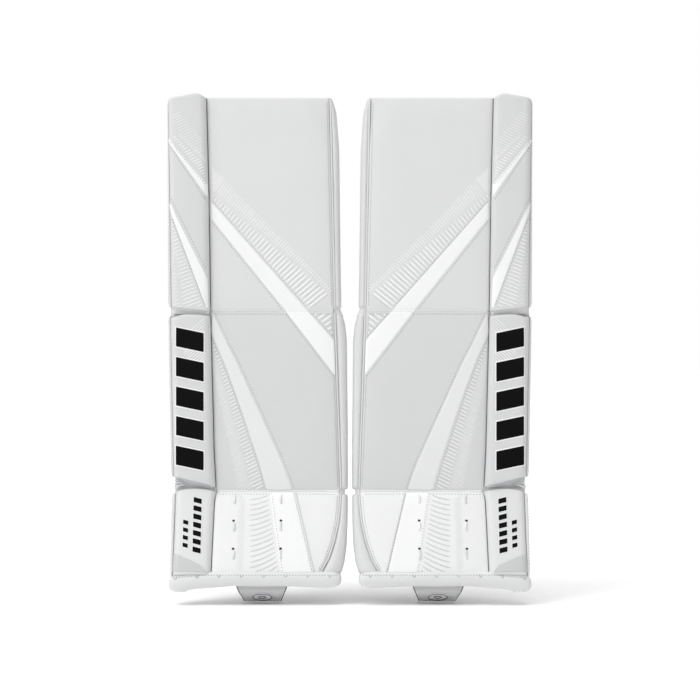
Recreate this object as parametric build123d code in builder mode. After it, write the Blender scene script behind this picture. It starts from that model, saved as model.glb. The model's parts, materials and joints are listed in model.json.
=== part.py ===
"""A pair of ice hockey goalie leg pads, upright and side by side, as they face a shooter.

X runs outward from the plane midway between the pads, Y runs backward towards the legs and Z runs up.
Every sub-part is modelled once, for the pad of the wearer's left leg at +X, and mirrored for the right.
The origin is below the middle of the pair, level with the lower ends of the toe bridges.

A pad is three padded sections, thigh, shin and boot, that flex about two breaks. A section's frame
stands at its break: X across the pad, Y the depth behind its face, Z along it.
"""

import os
from math import cos, radians, sin, tan

from build123d import *

# ---------------------------------------------------------------- driving dimensions, mm and degrees
PAD_WIDTH = 279.4  # 11 inches, the widest that a pad may be
PAIR_GAP = 8.0  # free space between the two pads

BOOT_BREAK = 173.0  # height of the seam between boot and shin
KNEE_BREAK = 454.0  # height of the seam between shin and thigh
FACE_TOP = 787.0
ROLL_TOP = 793.0

BOOT_KICK = 20.0  # the boot leans forward by this angle, towards the toe
THIGH_LEAN = 3.0
TOE_SWEEP = 65.0  # the toe bridge runs back under the toe, this far from straight down

SKIN = 3.0  # leather face panels with their backing
CORE = 45.0  # depth of the foam core
BOOT_CORE = 36.0
ROLL_PROUD = 12.0  # the outer roll stands in front of the face by this much
BOOT_ROLL_PROUD = 7.5
CLEAR = 0.5  # between neighbouring soft pieces
BREAK_GAP = 1.5  # each section stops this short of its break
NOTCH = 4.0  # bevel of the ends that meet at the knee break

FLAP = 12.0  # thickness of the padded flaps and wings
STRAP = 3.0  # thickness of the straps
CLIP = 5.5  # thickness of a strap's plastic clip

# ---------------------------------------------------------------- places worked out from them
BINDING_TOP, BINDING_LOW = 47.5, 22.0
BINDING_PROUD, BINDING_DEPTH = 8.0, 46.0
TOE_REACH = (BOOT_BREAK - BINDING_TOP) * tan(radians(BOOT_KICK))  # the toe is this far forward
CALF_STRAP_DEPTH = 117.0  # the calf strap's near side, behind the shin's face
DEPTH_BEHIND = CALF_STRAP_DEPTH + STRAP / 2 + CLIP / 2
FRONT = (TOE_REACH + BINDING_PROUD - DEPTH_BEHIND) / 2  # puts the origin midway, front to back

INNER_EDGE = PAIR_GAP / 2
OUTER_EDGE = INNER_EDGE + PAD_WIDTH
BACK = SKIN + CORE
BOOT_BACK = SKIN + BOOT_CORE
SHIN_LENGTH = KNEE_BREAK - BOOT_BREAK
THIGH_LENGTH = (FACE_TOP - KNEE_BREAK) / cos(radians(THIGH_LEAN))
ROLL_LENGTH = (ROLL_TOP - KNEE_BREAK - BACK * sin(radians(THIGH_LEAN))) / cos(radians(THIGH_LEAN))
BOOT_LENGTH = (BOOT_BREAK - BINDING_TOP) / cos(radians(BOOT_KICK))
SPARE = 20.0  # extra length that a cutting plane then takes off

# Across a face: where it ends at the inner gusset and at the outer roll, at each section's two ends
THIGH_INNER, THIGH_SEAM = (26.5, 34.0), (218.0, 223.0)  # at the knee break, at the top
SHIN_INNER, SHIN_SEAM = (15.6, 26.5), (209.0, 218.0)  # at the boot break, at the knee break
BOOT_INNER, BOOT_SEAM = (49.0, 15.6), (217.0, 209.0)  # at the binding, at the boot break
BOOT_TUCK = (25.5, -78.0)  # the boot's inner edge curves in through here
SHIN_OUTER = (280.0, OUTER_EDGE)
BOOT_OUTER = (275.0, 279.0)


def section(height, lean):
    """The frame of a section that starts at a break."""
    up = (0, -sin(radians(lean)), cos(radians(lean)))
    return Plane(origin=(0, FRONT, height), x_dir=(1, 0, 0), z_dir=up)


def front_of(frame, depth=0.0):
    """The front view of a section at a depth behind its face: X across, Y along the section."""
    return Plane(frame.origin + frame.y_dir * depth, x_dir=frame.x_dir, z_dir=-frame.y_dir)


def end_of(frame, along, bevel=0.0):
    """A cutting plane across a section, tipped so that the notch behind it opens."""
    return Plane(frame.origin + frame.z_dir * along, x_dir=frame.x_dir, z_dir=frame.z_dir).rotated(
        (bevel, 0, 0)
    )


THIGH = section(KNEE_BREAK, THIGH_LEAN)
SHIN = section(BOOT_BREAK, 0.0)
BOOT = section(BOOT_BREAK, -BOOT_KICK)

THIGH_END = end_of(THIGH, BREAK_GAP, NOTCH)
SHIN_TOP_END = end_of(SHIN, SHIN_LENGTH - BREAK_GAP, -NOTCH)
BINDING_END = Plane.XY.offset(BINDING_TOP)

finished = []


def finish(part, name):
    """Keeps a finished sub-part, to be exported for both sides."""
    part.label = name
    finished.append(part)


def face_corners(inner, seam, low, high, inset=0.0):
    """A section's face in its front view, from its lower to its upper end."""
    return [
        (inner[0] + inset, low),
        (seam[0] - inset, low),
        (seam[1] - inset, high),
        (inner[1] + inset, high),
    ]


# ---------------------------------------------------------------- thigh section
with BuildPart() as thigh_core:
    with BuildSketch(front_of(THIGH, SKIN + CLEAR)):
        with BuildLine():
            Polyline(
                face_corners(THIGH_INNER, THIGH_SEAM, -SPARE, THIGH_LENGTH - SKIN, CLEAR), close=True
            )
        make_face()
    extrude(amount=CLEAR - CORE)
    split(bisect_by=THIGH_END, keep=Keep.TOP)
finish(thigh_core.part, "thigh_core")

with BuildPart() as thigh_face:
    with BuildSketch(front_of(THIGH)) as thigh_face_outline:
        with BuildLine():
            Polyline(face_corners(THIGH_INNER, THIGH_SEAM, BREAK_GAP, THIGH_LENGTH), close=True)
        make_face()
        fillet(thigh_face_outline.vertices().sort_by(Axis.Y)[-2:].sort_by(Axis.X)[0], radius=8)
    extrude(amount=-SKIN)
finish(thigh_face.part, "thigh_face")

THIGH_ROLL_END = 4.0  # the fold between the rolls opens this far above the break
with BuildPart() as thigh_roll:
    with BuildSketch(front_of(THIGH, -ROLL_PROUD)):
        with BuildLine():
            Polyline(
                (THIGH_SEAM[0] + CLEAR, THIGH_ROLL_END),
                (OUTER_EDGE, THIGH_ROLL_END),
                (OUTER_EDGE, ROLL_LENGTH - 13),
                (THIGH_SEAM[1] + 12, ROLL_LENGTH),
                (THIGH_SEAM[1] + CLEAR, ROLL_LENGTH - 9),
                close=True,
            )
        make_face()
    extrude(amount=-(ROLL_PROUD + BACK))
    roll_front = thigh_roll.faces().sort_by(Axis.Y)[0]
    fillet(roll_front.edges().sort_by(SortBy.LENGTH)[-2:], radius=12)
finish(thigh_roll.part, "thigh_roll")

with BuildPart() as thigh_gusset:
    with BuildSketch(front_of(THIGH, SKIN)):
        with BuildLine():
            side = Spline(
                (14.4, BREAK_GAP + 4), (15.6, 61), (18.0, 250), (22.5, 308), (31.0, THIGH_LENGTH - 3)
            )
            Polyline(
                side @ 1,
                (THIGH_INNER[1] - CLEAR, THIGH_LENGTH - 3),
                (THIGH_INNER[0] - CLEAR, BREAK_GAP + 4),
                side @ 0,
            )
        make_face()
    extrude(amount=-CORE)
finish(thigh_gusset.part, "thigh_gusset")

with BuildPart() as thigh_liner:
    with BuildSketch(front_of(THIGH, BACK + CLEAR)):
        with BuildLine():
            Polyline(face_corners(THIGH_INNER, THIGH_SEAM, 12, THIGH_LENGTH - 20, 12), close=True)
        make_face()
    extrude(amount=-4)
finish(thigh_liner.part, "thigh_liner")

# The knee lands on the block, and the wing closes the cradle on the outer side
KNEE_SIDES = BACK + 5  # depth where the cradle's sides start
KNEE_DEPTH = 52.0
KNEE_LOW, KNEE_HIGH = 18.0, 150.0
KNEE_STRAP_DEPTH = KNEE_SIDES + KNEE_DEPTH + 1.5
WING_X = 196.0

with BuildPart() as knee_block:
    with BuildSketch(front_of(THIGH, KNEE_SIDES)):
        with Locations((47, (KNEE_LOW + KNEE_HIGH) / 2)):
            RectangleRounded(50, KNEE_HIGH - KNEE_LOW, 12)
    extrude(amount=-KNEE_DEPTH)
finish(knee_block.part, "knee_block")

with BuildPart() as knee_wing:
    with BuildSketch(front_of(THIGH, KNEE_SIDES)):
        with Locations((WING_X + FLAP / 2, (KNEE_LOW + KNEE_HIGH) / 2)):
            Rectangle(FLAP, KNEE_HIGH - KNEE_LOW)
    extrude(amount=-KNEE_DEPTH)
finish(knee_wing.part, "knee_wing")

with BuildPart() as knee_strap:
    with BuildSketch(front_of(THIGH, KNEE_STRAP_DEPTH)):
        with Locations((204, 84)):
            Rectangle(174, 38, align=(Align.MAX, Align.CENTER))
    extrude(amount=-STRAP)
finish(knee_strap.part, "knee_strap")

# ---------------------------------------------------------------- shin section
with BuildPart() as shin_core:
    with BuildSketch(front_of(SHIN, SKIN + CLEAR)):
        with BuildLine():
            Polyline(
                face_corners(SHIN_INNER, SHIN_SEAM, BREAK_GAP, SHIN_LENGTH + SPARE, CLEAR), close=True
            )
        make_face()
    extrude(amount=CLEAR - CORE)
    split(bisect_by=SHIN_TOP_END, keep=Keep.BOTTOM)
finish(shin_core.part, "shin_core")

with BuildPart() as shin_face:
    with BuildSketch(front_of(SHIN)):
        with BuildLine():
            Polyline(
                face_corners(SHIN_INNER, SHIN_SEAM, BREAK_GAP, SHIN_LENGTH - BREAK_GAP), close=True
            )
        make_face()
    extrude(amount=-SKIN)
finish(shin_face.part, "shin_face")

SHIN_ROLL_END = SHIN_LENGTH - 5  # below the knee break
BOOT_FOLD = (8.0, 20.0)  # the fold above the boot break, at the seam and at the outer edge
with BuildPart() as shin_roll:
    with BuildSketch(front_of(SHIN, -ROLL_PROUD)):
        with BuildLine():
            Polyline(
                (SHIN_SEAM[0] + CLEAR, BOOT_FOLD[0]),
                (SHIN_OUTER[0], BOOT_FOLD[1]),
                (SHIN_OUTER[1], SHIN_ROLL_END),
                (SHIN_SEAM[1] + CLEAR, SHIN_ROLL_END),
                close=True,
            )
        make_face()
    extrude(amount=-(ROLL_PROUD + BACK))
    roll_front = shin_roll.faces().sort_by(Axis.Y)[0]
    fillet(roll_front.edges().sort_by(SortBy.LENGTH)[-2:], radius=12)
finish(shin_roll.part, "shin_roll")

with BuildPart() as shin_gusset:
    with BuildSketch(front_of(SHIN, SKIN)):
        with BuildLine():
            side = Spline(
                (INNER_EDGE, BREAK_GAP), (INNER_EDGE + 0.5, 100), (6, 235), (9, 264), (16, SHIN_LENGTH - 6)
            )
            Polyline(
                side @ 1,
                (SHIN_INNER[1] - CLEAR, SHIN_LENGTH - 6),
                (SHIN_INNER[0] - CLEAR, BREAK_GAP),
                side @ 0,
            )
        make_face()
    extrude(amount=-CORE)
finish(shin_gusset.part, "shin_gusset")

with BuildPart() as shin_stiffener:
    with BuildSketch(front_of(SHIN, BACK + CLEAR)):
        with Locations((122, 140)):
            RectangleRounded(156, 250, 15)
    extrude(amount=-2.5)
finish(shin_stiffener.part, "shin_stiffener")

with BuildPart() as leg_liner:
    with BuildSketch(front_of(SHIN, BACK + 3.5)):
        with Locations((130, 132)):
            RectangleRounded(116, 215, 20)
    extrude(amount=-12)
finish(leg_liner.part, "leg_liner")

# The calf flaps wrap the leg. Each is hinged behind the stiffener, on a vertical line.
HINGE_DEPTH = BACK + 10
FLAP_LOW, FLAP_HIGH = 32.0, 227.0
INNER_HINGE_X, OUTER_HINGE_X = 52.0, 205.0


def calf_flap(hinge_x, straight, tip_x, reach):
    """A padded panel with round ends: straight back from its hinge, then round behind the calf."""
    bend = (hinge_x, HINGE_DEPTH + straight)
    tip = (tip_x, HINGE_DEPTH + reach)
    foot = Plane(SHIN.origin + SHIN.z_dir * FLAP_LOW, x_dir=SHIN.x_dir, z_dir=SHIN.z_dir)
    with BuildPart() as flap:
        with BuildSketch(foot):
            with BuildLine() as middle:
                Line((hinge_x, HINGE_DEPTH), bend)
                TangentArc(bend, tip, tangent=(0, 1))
            trace(middle.line, line_width=FLAP)
            with Locations((hinge_x, HINGE_DEPTH), tip):
                Circle(FLAP / 2)
        extrude(amount=FLAP_HIGH - FLAP_LOW)
    return flap.part


OUTER_TIP_X = 186.0
finish(calf_flap(INNER_HINGE_X, 26, 68, 49), "inner_calf_flap")
finish(calf_flap(OUTER_HINGE_X, 24, OUTER_TIP_X, 52), "outer_calf_flap")

# The calf strap is sewn to the outer flap's tip and clips to the inner side
CALF_STRAP_X = OUTER_TIP_X + 1
CALF_STRAP_Z = 127.0
CALF_STRAP_LENGTH = 129.0
with BuildPart() as calf_strap:
    with BuildSketch(front_of(SHIN, CALF_STRAP_DEPTH)):
        with Locations((CALF_STRAP_X, CALF_STRAP_Z)):
            Rectangle(CALF_STRAP_LENGTH, 38, align=(Align.MAX, Align.CENTER))
    extrude(amount=-STRAP)
finish(calf_strap.part, "calf_strap")


def strap_clip(frame, right_x, middle, strap_depth):
    """A strap's clip: a flat body with a waist for the fingers."""
    with BuildPart() as clip:
        with BuildSketch(front_of(frame, strap_depth + STRAP / 2 - CLIP / 2)):
            with Locations((right_x, middle)):
                Rectangle(24, 40, align=(Align.MAX, Align.CENTER))
            with Locations((right_x - 14, middle + 22), (right_x - 14, middle - 22)):
                Circle(5, mode=Mode.SUBTRACT)
        extrude(amount=-CLIP)
    return clip.part


finish(
    strap_clip(SHIN, CALF_STRAP_X - CALF_STRAP_LENGTH - CLEAR, CALF_STRAP_Z, CALF_STRAP_DEPTH),
    "calf_clip",
)

# ---------------------------------------------------------------- boot section
with BuildPart() as boot_core:
    with BuildSketch(front_of(BOOT, SKIN + CLEAR)):
        with BuildLine():
            ThreePointArc(
                (BOOT_INNER[1] + CLEAR, -BREAK_GAP),
                (BOOT_TUCK[0] + CLEAR, BOOT_TUCK[1]),
                (BOOT_INNER[0] + CLEAR, -BOOT_LENGTH),
            )
            Polyline(
                (BOOT_INNER[0] + CLEAR, -BOOT_LENGTH),
                (BOOT_SEAM[0] - CLEAR, -BOOT_LENGTH),
                (BOOT_SEAM[1] - CLEAR, -BREAK_GAP),
                (BOOT_INNER[1] + CLEAR, -BREAK_GAP),
            )
        make_face()
    extrude(amount=CLEAR - BOOT_CORE)
    split(bisect_by=BINDING_END, keep=Keep.TOP)
finish(boot_core.part, "boot_core")

with BuildPart() as boot_face:
    with BuildSketch(front_of(BOOT)):
        with BuildLine():
            ThreePointArc((BOOT_INNER[1], -BREAK_GAP), BOOT_TUCK, (BOOT_INNER[0], -BOOT_LENGTH))
            Polyline(
                (BOOT_INNER[0], -BOOT_LENGTH),
                (BOOT_SEAM[0], -BOOT_LENGTH),
                (BOOT_SEAM[1], -BREAK_GAP),
                (BOOT_INNER[1], -BREAK_GAP),
            )
        make_face()
    extrude(amount=-SKIN)
    split(bisect_by=BINDING_END, keep=Keep.TOP)
finish(boot_face.part, "boot_face")

with BuildPart() as boot_roll:
    with BuildSketch(front_of(BOOT, -BOOT_ROLL_PROUD)):
        with BuildLine():
            Polyline(
                (BOOT_SEAM[1] + CLEAR, -BREAK_GAP),
                (BOOT_SEAM[0] + CLEAR, -BOOT_LENGTH),
                (BOOT_SEAM[0] + CLEAR, -BOOT_LENGTH - SPARE),
                (BOOT_OUTER[0], -BOOT_LENGTH - SPARE),
                (BOOT_OUTER[1], -BREAK_GAP),
                close=True,
            )
        make_face()
    extrude(amount=-(BOOT_ROLL_PROUD + BOOT_BACK))
    roll_front = boot_roll.faces().sort_by(Axis.Y)[0]
    fillet(roll_front.edges().sort_by(SortBy.LENGTH)[-2:], radius=8)
    split(bisect_by=BINDING_END, keep=Keep.TOP)
finish(boot_roll.part, "boot_roll")

with BuildPart() as boot_gusset:
    with BuildSketch(front_of(BOOT, SKIN)):
        with BuildLine():
            ThreePointArc(
                (INNER_EDGE + 0.3, -BREAK_GAP), (INNER_EDGE + 1.5, -80), (INNER_EDGE + 11, -BOOT_LENGTH)
            )
            ThreePointArc(
                (BOOT_INNER[1] - CLEAR, -BREAK_GAP),
                (BOOT_TUCK[0] - CLEAR, BOOT_TUCK[1]),
                (BOOT_INNER[0] - CLEAR, -BOOT_LENGTH),
            )
            Line((INNER_EDGE + 11, -BOOT_LENGTH), (BOOT_INNER[0] - CLEAR, -BOOT_LENGTH))
            Line((INNER_EDGE + 0.3, -BREAK_GAP), (BOOT_INNER[1] - CLEAR, -BREAK_GAP))
        make_face()
    extrude(amount=-BOOT_CORE)
    split(bisect_by=BINDING_END, keep=Keep.TOP)
finish(boot_gusset.part, "boot_gusset")

BINDING_FRONT = FRONT - TOE_REACH - BINDING_PROUD
with BuildPart() as boot_binding:
    with BuildSketch(Plane.XY.offset(BINDING_LOW)):
        with Locations(((INNER_EDGE + 9 + OUTER_EDGE) / 2, BINDING_FRONT + BINDING_DEPTH / 2)):
            RectangleRounded(OUTER_EDGE - INNER_EDGE - 9, BINDING_DEPTH, 14)
    extrude(amount=BINDING_TOP - BINDING_LOW - CLEAR)
    fillet(boot_binding.faces().filter_by(Axis.Z).edges(), radius=9)
finish(boot_binding.part, "boot_binding")

LACE_ROWS = (-14.0, -58.0, -103.0)
LACE_COLUMNS = (107.0, 180.5)
with BuildPart() as boot_laces:
    with BuildSketch(front_of(BOOT)):
        with Locations([(x, z) for x in LACE_COLUMNS for z in LACE_ROWS]):
            SlotOverall(14, 3.4, rotation=90)
    extrude(amount=1.8)
finish(boot_laces.part, "boot_laces")

# The skate sits between the boot's two wings
BOOT_WING_DEPTH = 55.0
BOOT_STRAP_DEPTH = BOOT_BACK + 1 + BOOT_WING_DEPTH + 1.5


def boot_wing(middle_x):
    """A wall of the boot channel."""
    with BuildPart() as wing:
        with BuildSketch(front_of(BOOT, BOOT_BACK + 1)):
            with Locations((middle_x, -56)):
                Rectangle(FLAP, 97)
        extrude(amount=-BOOT_WING_DEPTH)
    return wing.part


finish(boot_wing(40), "inner_boot_wing")
finish(boot_wing(192), "outer_boot_wing")

with BuildPart() as boot_strap:
    with BuildSketch(front_of(BOOT, BOOT_STRAP_DEPTH)):
        with Locations((196, -60)):
            Rectangle(144, 30, align=(Align.MAX, Align.CENTER))
    extrude(amount=-STRAP)
finish(boot_strap.part, "boot_strap")

finish(strap_clip(BOOT, 196 - 144 - CLEAR, -60, BOOT_STRAP_DEPTH), "boot_clip")

# ---------------------------------------------------------------- toe bridge
TOE_X = 136.0
TOE_BACKSET = 16.0  # its hinge line is this far behind the binding's front
TOE_HINGE_DROP = 2.0
TOE_PLATE = 2.5
TOE_TOP, TOE_TIP = 38.0, 27.5  # half widths
EYELET_BORE, EYELET_HUB, EYELET_FLANGE = 4.0, 6.9, 15.5  # radii
sweep_down, sweep_back = cos(radians(TOE_SWEEP)), sin(radians(TOE_SWEEP))
TOE = Plane(
    origin=(TOE_X, BINDING_FRONT + TOE_BACKSET, BINDING_LOW - TOE_HINGE_DROP),
    x_dir=(1, 0, 0),
    z_dir=(0, -sweep_down, -sweep_back),
)
TOE_LENGTH = (BINDING_LOW - TOE_HINGE_DROP - TOE_PLATE / 2 * sweep_back) / sweep_down
EYELET = Plane(TOE.origin - TOE.y_dir * 18, x_dir=TOE.x_dir, z_dir=TOE.z_dir)

with BuildPart() as toe_bridge:
    with BuildSketch(TOE.offset(-TOE_PLATE / 2)):
        with BuildLine():
            Polyline(
                (-TOE_TOP, 0), (TOE_TOP, 0), (TOE_TIP, -TOE_LENGTH), (-TOE_TIP, -TOE_LENGTH), close=True
            )
        make_face()
        with Locations((0, -18)):
            Circle(EYELET_HUB + 0.1, mode=Mode.SUBTRACT)
    extrude(amount=TOE_PLATE)
finish(toe_bridge.part, "toe_bridge")

with BuildPart() as toe_eyelet:
    with BuildSketch(EYELET.offset(-TOE_PLATE / 2)):
        Circle(EYELET_HUB)
    extrude(amount=TOE_PLATE)
    with BuildSketch(EYELET.offset(TOE_PLATE / 2)):
        Circle(EYELET_FLANGE)
    extrude(amount=1.6)
    with BuildSketch(EYELET.offset(-TOE_PLATE / 2)):
        Circle(10)
    extrude(amount=-1.2)
    with BuildSketch(EYELET.offset(TOE_PLATE / 2 + 1.6)):
        Circle(EYELET_BORE)
    extrude(amount=-(1.6 + TOE_PLATE + 1.2), mode=Mode.SUBTRACT)
finish(toe_eyelet.part, "toe_eyelet")

# ---------------------------------------------------------------- both pads
os.makedirs("parts", exist_ok=True)
for part in finished:
    name = part.label
    right_part = mirror(part, about=Plane.YZ)
    for side_name, side_part in (("left", part), ("right", right_part)):
        side_part.label = f"{side_name}_{name}"
        export_step(side_part, f"parts/{side_part.label}.step")

print(f"front of the shin's face at Y {FRONT:.2f}")
print(f"toe hinge {TOE.origin}, eyelet {EYELET.origin}, eyelet axis {TOE.z_dir}")
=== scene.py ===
"""Looks for the pair of goalie leg pads: padded leather covers, folds, graphics, stitching, straps and clips.

Every piece is made once, for the left leg's pad at +X, in millimetres, and mirrored for the right leg's pad.
A section (thigh, shin, boot) has its own coordinates: x across, d the depth behind its face plane and s the
distance along it from its break.
"""

import json
from math import atan2, cos, hypot, pi, radians, sin, sqrt, tan

import bmesh
import bpy
import numpy as np
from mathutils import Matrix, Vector
from mathutils.bvhtree import BVHTree


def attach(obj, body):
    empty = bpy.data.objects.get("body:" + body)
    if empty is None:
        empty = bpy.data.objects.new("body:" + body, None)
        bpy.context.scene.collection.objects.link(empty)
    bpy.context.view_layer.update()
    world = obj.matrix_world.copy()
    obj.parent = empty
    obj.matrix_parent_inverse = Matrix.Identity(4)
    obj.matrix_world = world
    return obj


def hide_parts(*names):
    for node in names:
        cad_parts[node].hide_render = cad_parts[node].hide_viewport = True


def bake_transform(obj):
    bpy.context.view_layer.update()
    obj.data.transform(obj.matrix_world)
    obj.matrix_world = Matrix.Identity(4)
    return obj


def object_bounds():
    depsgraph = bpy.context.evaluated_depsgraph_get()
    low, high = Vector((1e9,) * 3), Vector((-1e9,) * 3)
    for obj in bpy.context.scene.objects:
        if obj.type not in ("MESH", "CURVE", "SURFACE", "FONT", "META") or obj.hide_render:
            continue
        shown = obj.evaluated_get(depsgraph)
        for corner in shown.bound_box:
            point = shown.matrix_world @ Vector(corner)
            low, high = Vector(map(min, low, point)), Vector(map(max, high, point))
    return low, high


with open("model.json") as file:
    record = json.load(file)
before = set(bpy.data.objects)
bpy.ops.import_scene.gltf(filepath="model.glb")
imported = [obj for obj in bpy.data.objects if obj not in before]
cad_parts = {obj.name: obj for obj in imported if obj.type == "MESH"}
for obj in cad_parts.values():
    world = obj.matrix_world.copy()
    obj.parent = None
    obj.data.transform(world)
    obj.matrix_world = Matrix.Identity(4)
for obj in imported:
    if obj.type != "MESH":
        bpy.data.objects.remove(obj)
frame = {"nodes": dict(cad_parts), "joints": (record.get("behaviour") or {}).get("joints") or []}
cad_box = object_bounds()
joints = {joint["name"]: joint for joint in frame["joints"]}
rng = np.random.default_rng(7)
MM = 0.001


# ---- points and lines
def lerp(a, b, t):
    return a + (b - a) * t


def smooth(t):
    t = np.clip(t, 0, 1)
    return t * t * (3 - 2 * t)


def dip(gap, wide):
    """1 where gap is 0, fading to nothing a little beyond wide."""
    return np.exp(-((gap / wide) ** 2))


def wave(x, y, scale, seed=0.0):
    """Smooth, repeatable unevenness between about -1 and 1; scale is its wavelength."""
    a, b = x / scale, y / scale
    return (
        np.sin(5.1 * a + 1.3 * b + seed)
        + np.sin(-2.7 * a + 4.9 * b + 2.1 * seed + 1)
        + np.sin(3.3 * a - 6.1 * b + 0.7 * seed + 2) * 0.6
    ) / 2.6


def circle(n):
    """n angles once round."""
    return np.linspace(0, 2 * pi, n, endpoint=False)


def spots(x, d, s):
    """Points from three coordinates, each a number or an array."""
    return np.stack(np.broadcast_arrays(x, d, s), -1)


def unit(vectors):
    return vectors / np.maximum(np.linalg.norm(vectors, axis=-1, keepdims=True), 1e-9)


def tangents(points):
    return unit(np.gradient(points, axis=0))


def left_of(points):
    """Unit directions to the left of a flat line of points, as it runs."""
    tangent = tangents(points)
    return np.stack([-tangent[:, 1], tangent[:, 0]], -1)


def distances(points):
    """How far along a line each of its points is."""
    return np.concatenate([[0], np.cumsum(np.linalg.norm(np.diff(points, axis=0), axis=1))])


def line_length(points):
    return float(np.linalg.norm(np.diff(np.asarray(points, float), axis=0), axis=1).sum())


def resample(points, n):
    """n points spaced evenly along a line of points."""
    p = np.asarray(points, float)
    run = distances(p)
    at = np.linspace(0, run[-1], n)
    return np.stack([np.interp(at, run, p[:, i]) for i in range(p.shape[1])], -1)


def beside(points, gap):
    """A line of points moved sideways by gap, to its left as it runs."""
    p = resample(points, 40)
    return p + left_of(p) * gap


def edge_line(points):
    """An edge as x for every s, through (x, s) points."""
    points = sorted(points, key=lambda p: p[1])
    return lambda s: np.interp(s, [p[1] for p in points], [p[0] for p in points])


class Section:
    """Coordinates (x, d, s) of one section, from the joint at its break and how far it leans forward."""

    def __init__(self, joint, lean):
        _, self.y, self.z = [value / MM for value in joints[joint]["pos_m"]]
        angle = radians(lean)
        self.across = np.array((1, 0, 0))
        self.back = np.array((0, cos(angle), sin(angle)))
        self.up = np.array((0, -sin(angle), cos(angle)))
        self.origin = np.array((0, self.y, self.z))

    def world(self, points):
        p = np.asarray(points, float)
        return self.origin + p[..., :1] * self.across + p[..., 1:2] * self.back + p[..., 2:3] * self.up

    def along(self, z):
        """How far along the face a height above the floor is."""
        return (np.asarray(z, float) - self.z) / self.up[2]

    def on(self, *points):
        """Design points (outward, height above the floor) as (x, s) on the face."""
        return [(x, float(self.along(z))) for x, z in points]


class Path:
    """A curved wall seen from its end: places (along, off, s) on a line of (x, d) points. off grows towards +x."""

    def __init__(self, points):
        self.line = resample(points, 60)
        self.run = distances(self.line)
        self.side = -left_of(self.line)
        self.length = self.run[-1]

    def place(self, points):
        x, d, nx, nd = (np.interp(points[..., 0], self.run, v) for v in (*self.line.T, *self.side.T))
        return np.stack([x + nx * points[..., 1], d + nd * points[..., 1], points[..., 2]], -1)


THIGH = Section("left_knee_break", 3.0)
SHIN = Section("left_boot_break", 0.0)
BOOT = Section("left_boot_break", -20.0)
KNEE_Z, BOOT_Z = THIGH.z, SHIN.z
SHIN_LENGTH = KNEE_Z - BOOT_Z
PAD_TOP, BINDING_TOP = 787.0, 47.5  # heights above the floor
THIGH_LENGTH = float(THIGH.along(PAD_TOP))
BOOT_LENGTH = -float(BOOT.along(BINDING_TOP))
KNEE_SLOPE, KICK = tan(radians(4.5)), tan(radians(20))  # how the ends of sections slope with depth
# the section whose coordinates each body's pieces are given in
OWN_SECTION = {"thigh": THIGH, "knee_strap": THIGH, "shin": SHIN, "inner_flap": SHIN, "outer_flap": SHIN}
OWN_SECTION |= {"calf_strap": SHIN, "boot": BOOT, "boot_strap": BOOT}


# ---- closed solids, as (points, faces)
def ticks(length, n, r):
    """Places from 0 to length, closer together within r of each end."""
    ends = r * (1 - np.cos(np.linspace(0, pi / 2, 5)))[:-1]
    return np.concatenate([ends, np.linspace(r, length - r, n), (length - ends)[::-1]])


def nearness(e, length, r):
    """-1 at the start, 0 in the middle and 1 at the end of a length with zones of r at both ends."""
    return np.where(e < r, e / r - 1, np.where(e > length - r, (e - length) / r + 1, 0.0))


def slab(place, size, front, back, r, drop, n, walls=3, bulge=0.0, back_drop=None, turn=0.5):
    """A padded panel with rounded edges.

    place(a, b) gives x and s from the fractions across and along; front and back are depths or give them from
    the same fractions. drop is how far the front falls away within r, (across, along), of the edges; turn rounds
    the corners of the outline, and bulge is how far the side walls swell.
    """
    front, back = (face if callable(face) else lambda a, b, d=face: d + 0 * a for face in (front, back))
    back_drop = drop if back_drop is None else back_drop
    across, along = r if isinstance(r, tuple) else (r, r)
    width, length = size
    eu, ev = np.meshgrid(ticks(width, n[0], across), ticks(length, n[1], along))
    tu, tv = nearness(eu, width, across), nearness(ev, length, along)
    du, dv = tu * np.sqrt(1 - turn * tv**2 / 2), tv * np.sqrt(1 - turn * tu**2 / 2)
    a, b = (eu + (du - tu) * across) / width, (ev + (dv - tv) * along) / length
    fall = 1 - np.sqrt(np.clip((1 - tu**2) * (1 - tv**2), 0, 1))
    x, s = place(a, b)
    verts = [spots(x, front(a, b) + drop * fall, s), spots(x, back(a, b) - back_drop * fall, s)]
    rows, cols = a.shape
    grid = np.arange(rows * cols).reshape(rows, cols)
    quads = np.stack([grid[:-1, :-1], grid[:-1, 1:], grid[1:, 1:], grid[1:, :-1]], -1).reshape(-1, 4)
    faces = [quads, quads[:, ::-1] + rows * cols]
    verts = [v.reshape(-1, 3) for v in verts]
    ring = np.concatenate([grid[0, :-1], grid[:-1, -1], grid[-1, :0:-1], grid[:0:-1, 0]])
    front_ring, back_ring = verts[0][ring], verts[1][ring]
    side = np.roll(front_ring, -1, 0) - np.roll(front_ring, 1, 0)
    out = unit(spots(side[:, 2], 0, -side[:, 0]))
    hoops = [ring]
    for i in range(walls):
        t = (i + 1) / (walls + 1)
        verts.append(lerp(front_ring, back_ring, t) + out * bulge * sin(pi * t))
        hoops.append(2 * rows * cols + i * len(ring) + np.arange(len(ring)))
    hoops.append(ring + rows * cols)
    for one, two in zip(hoops, hoops[1:]):
        faces.append(np.stack([one, two, np.roll(two, -1), np.roll(one, -1)], -1))
    return np.concatenate(verts), np.concatenate(faces)


def between(left, right, low, high):
    """A slab's place between two edges, with ends that are distances or give them from the fraction across."""
    low, high = (end if callable(end) else lambda a, s=end: s for end in (low, high))

    def place(a, b):
        s = lerp(low(a), high(a), b)
        return lerp(left(s), right(s), a), s

    return place


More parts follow.
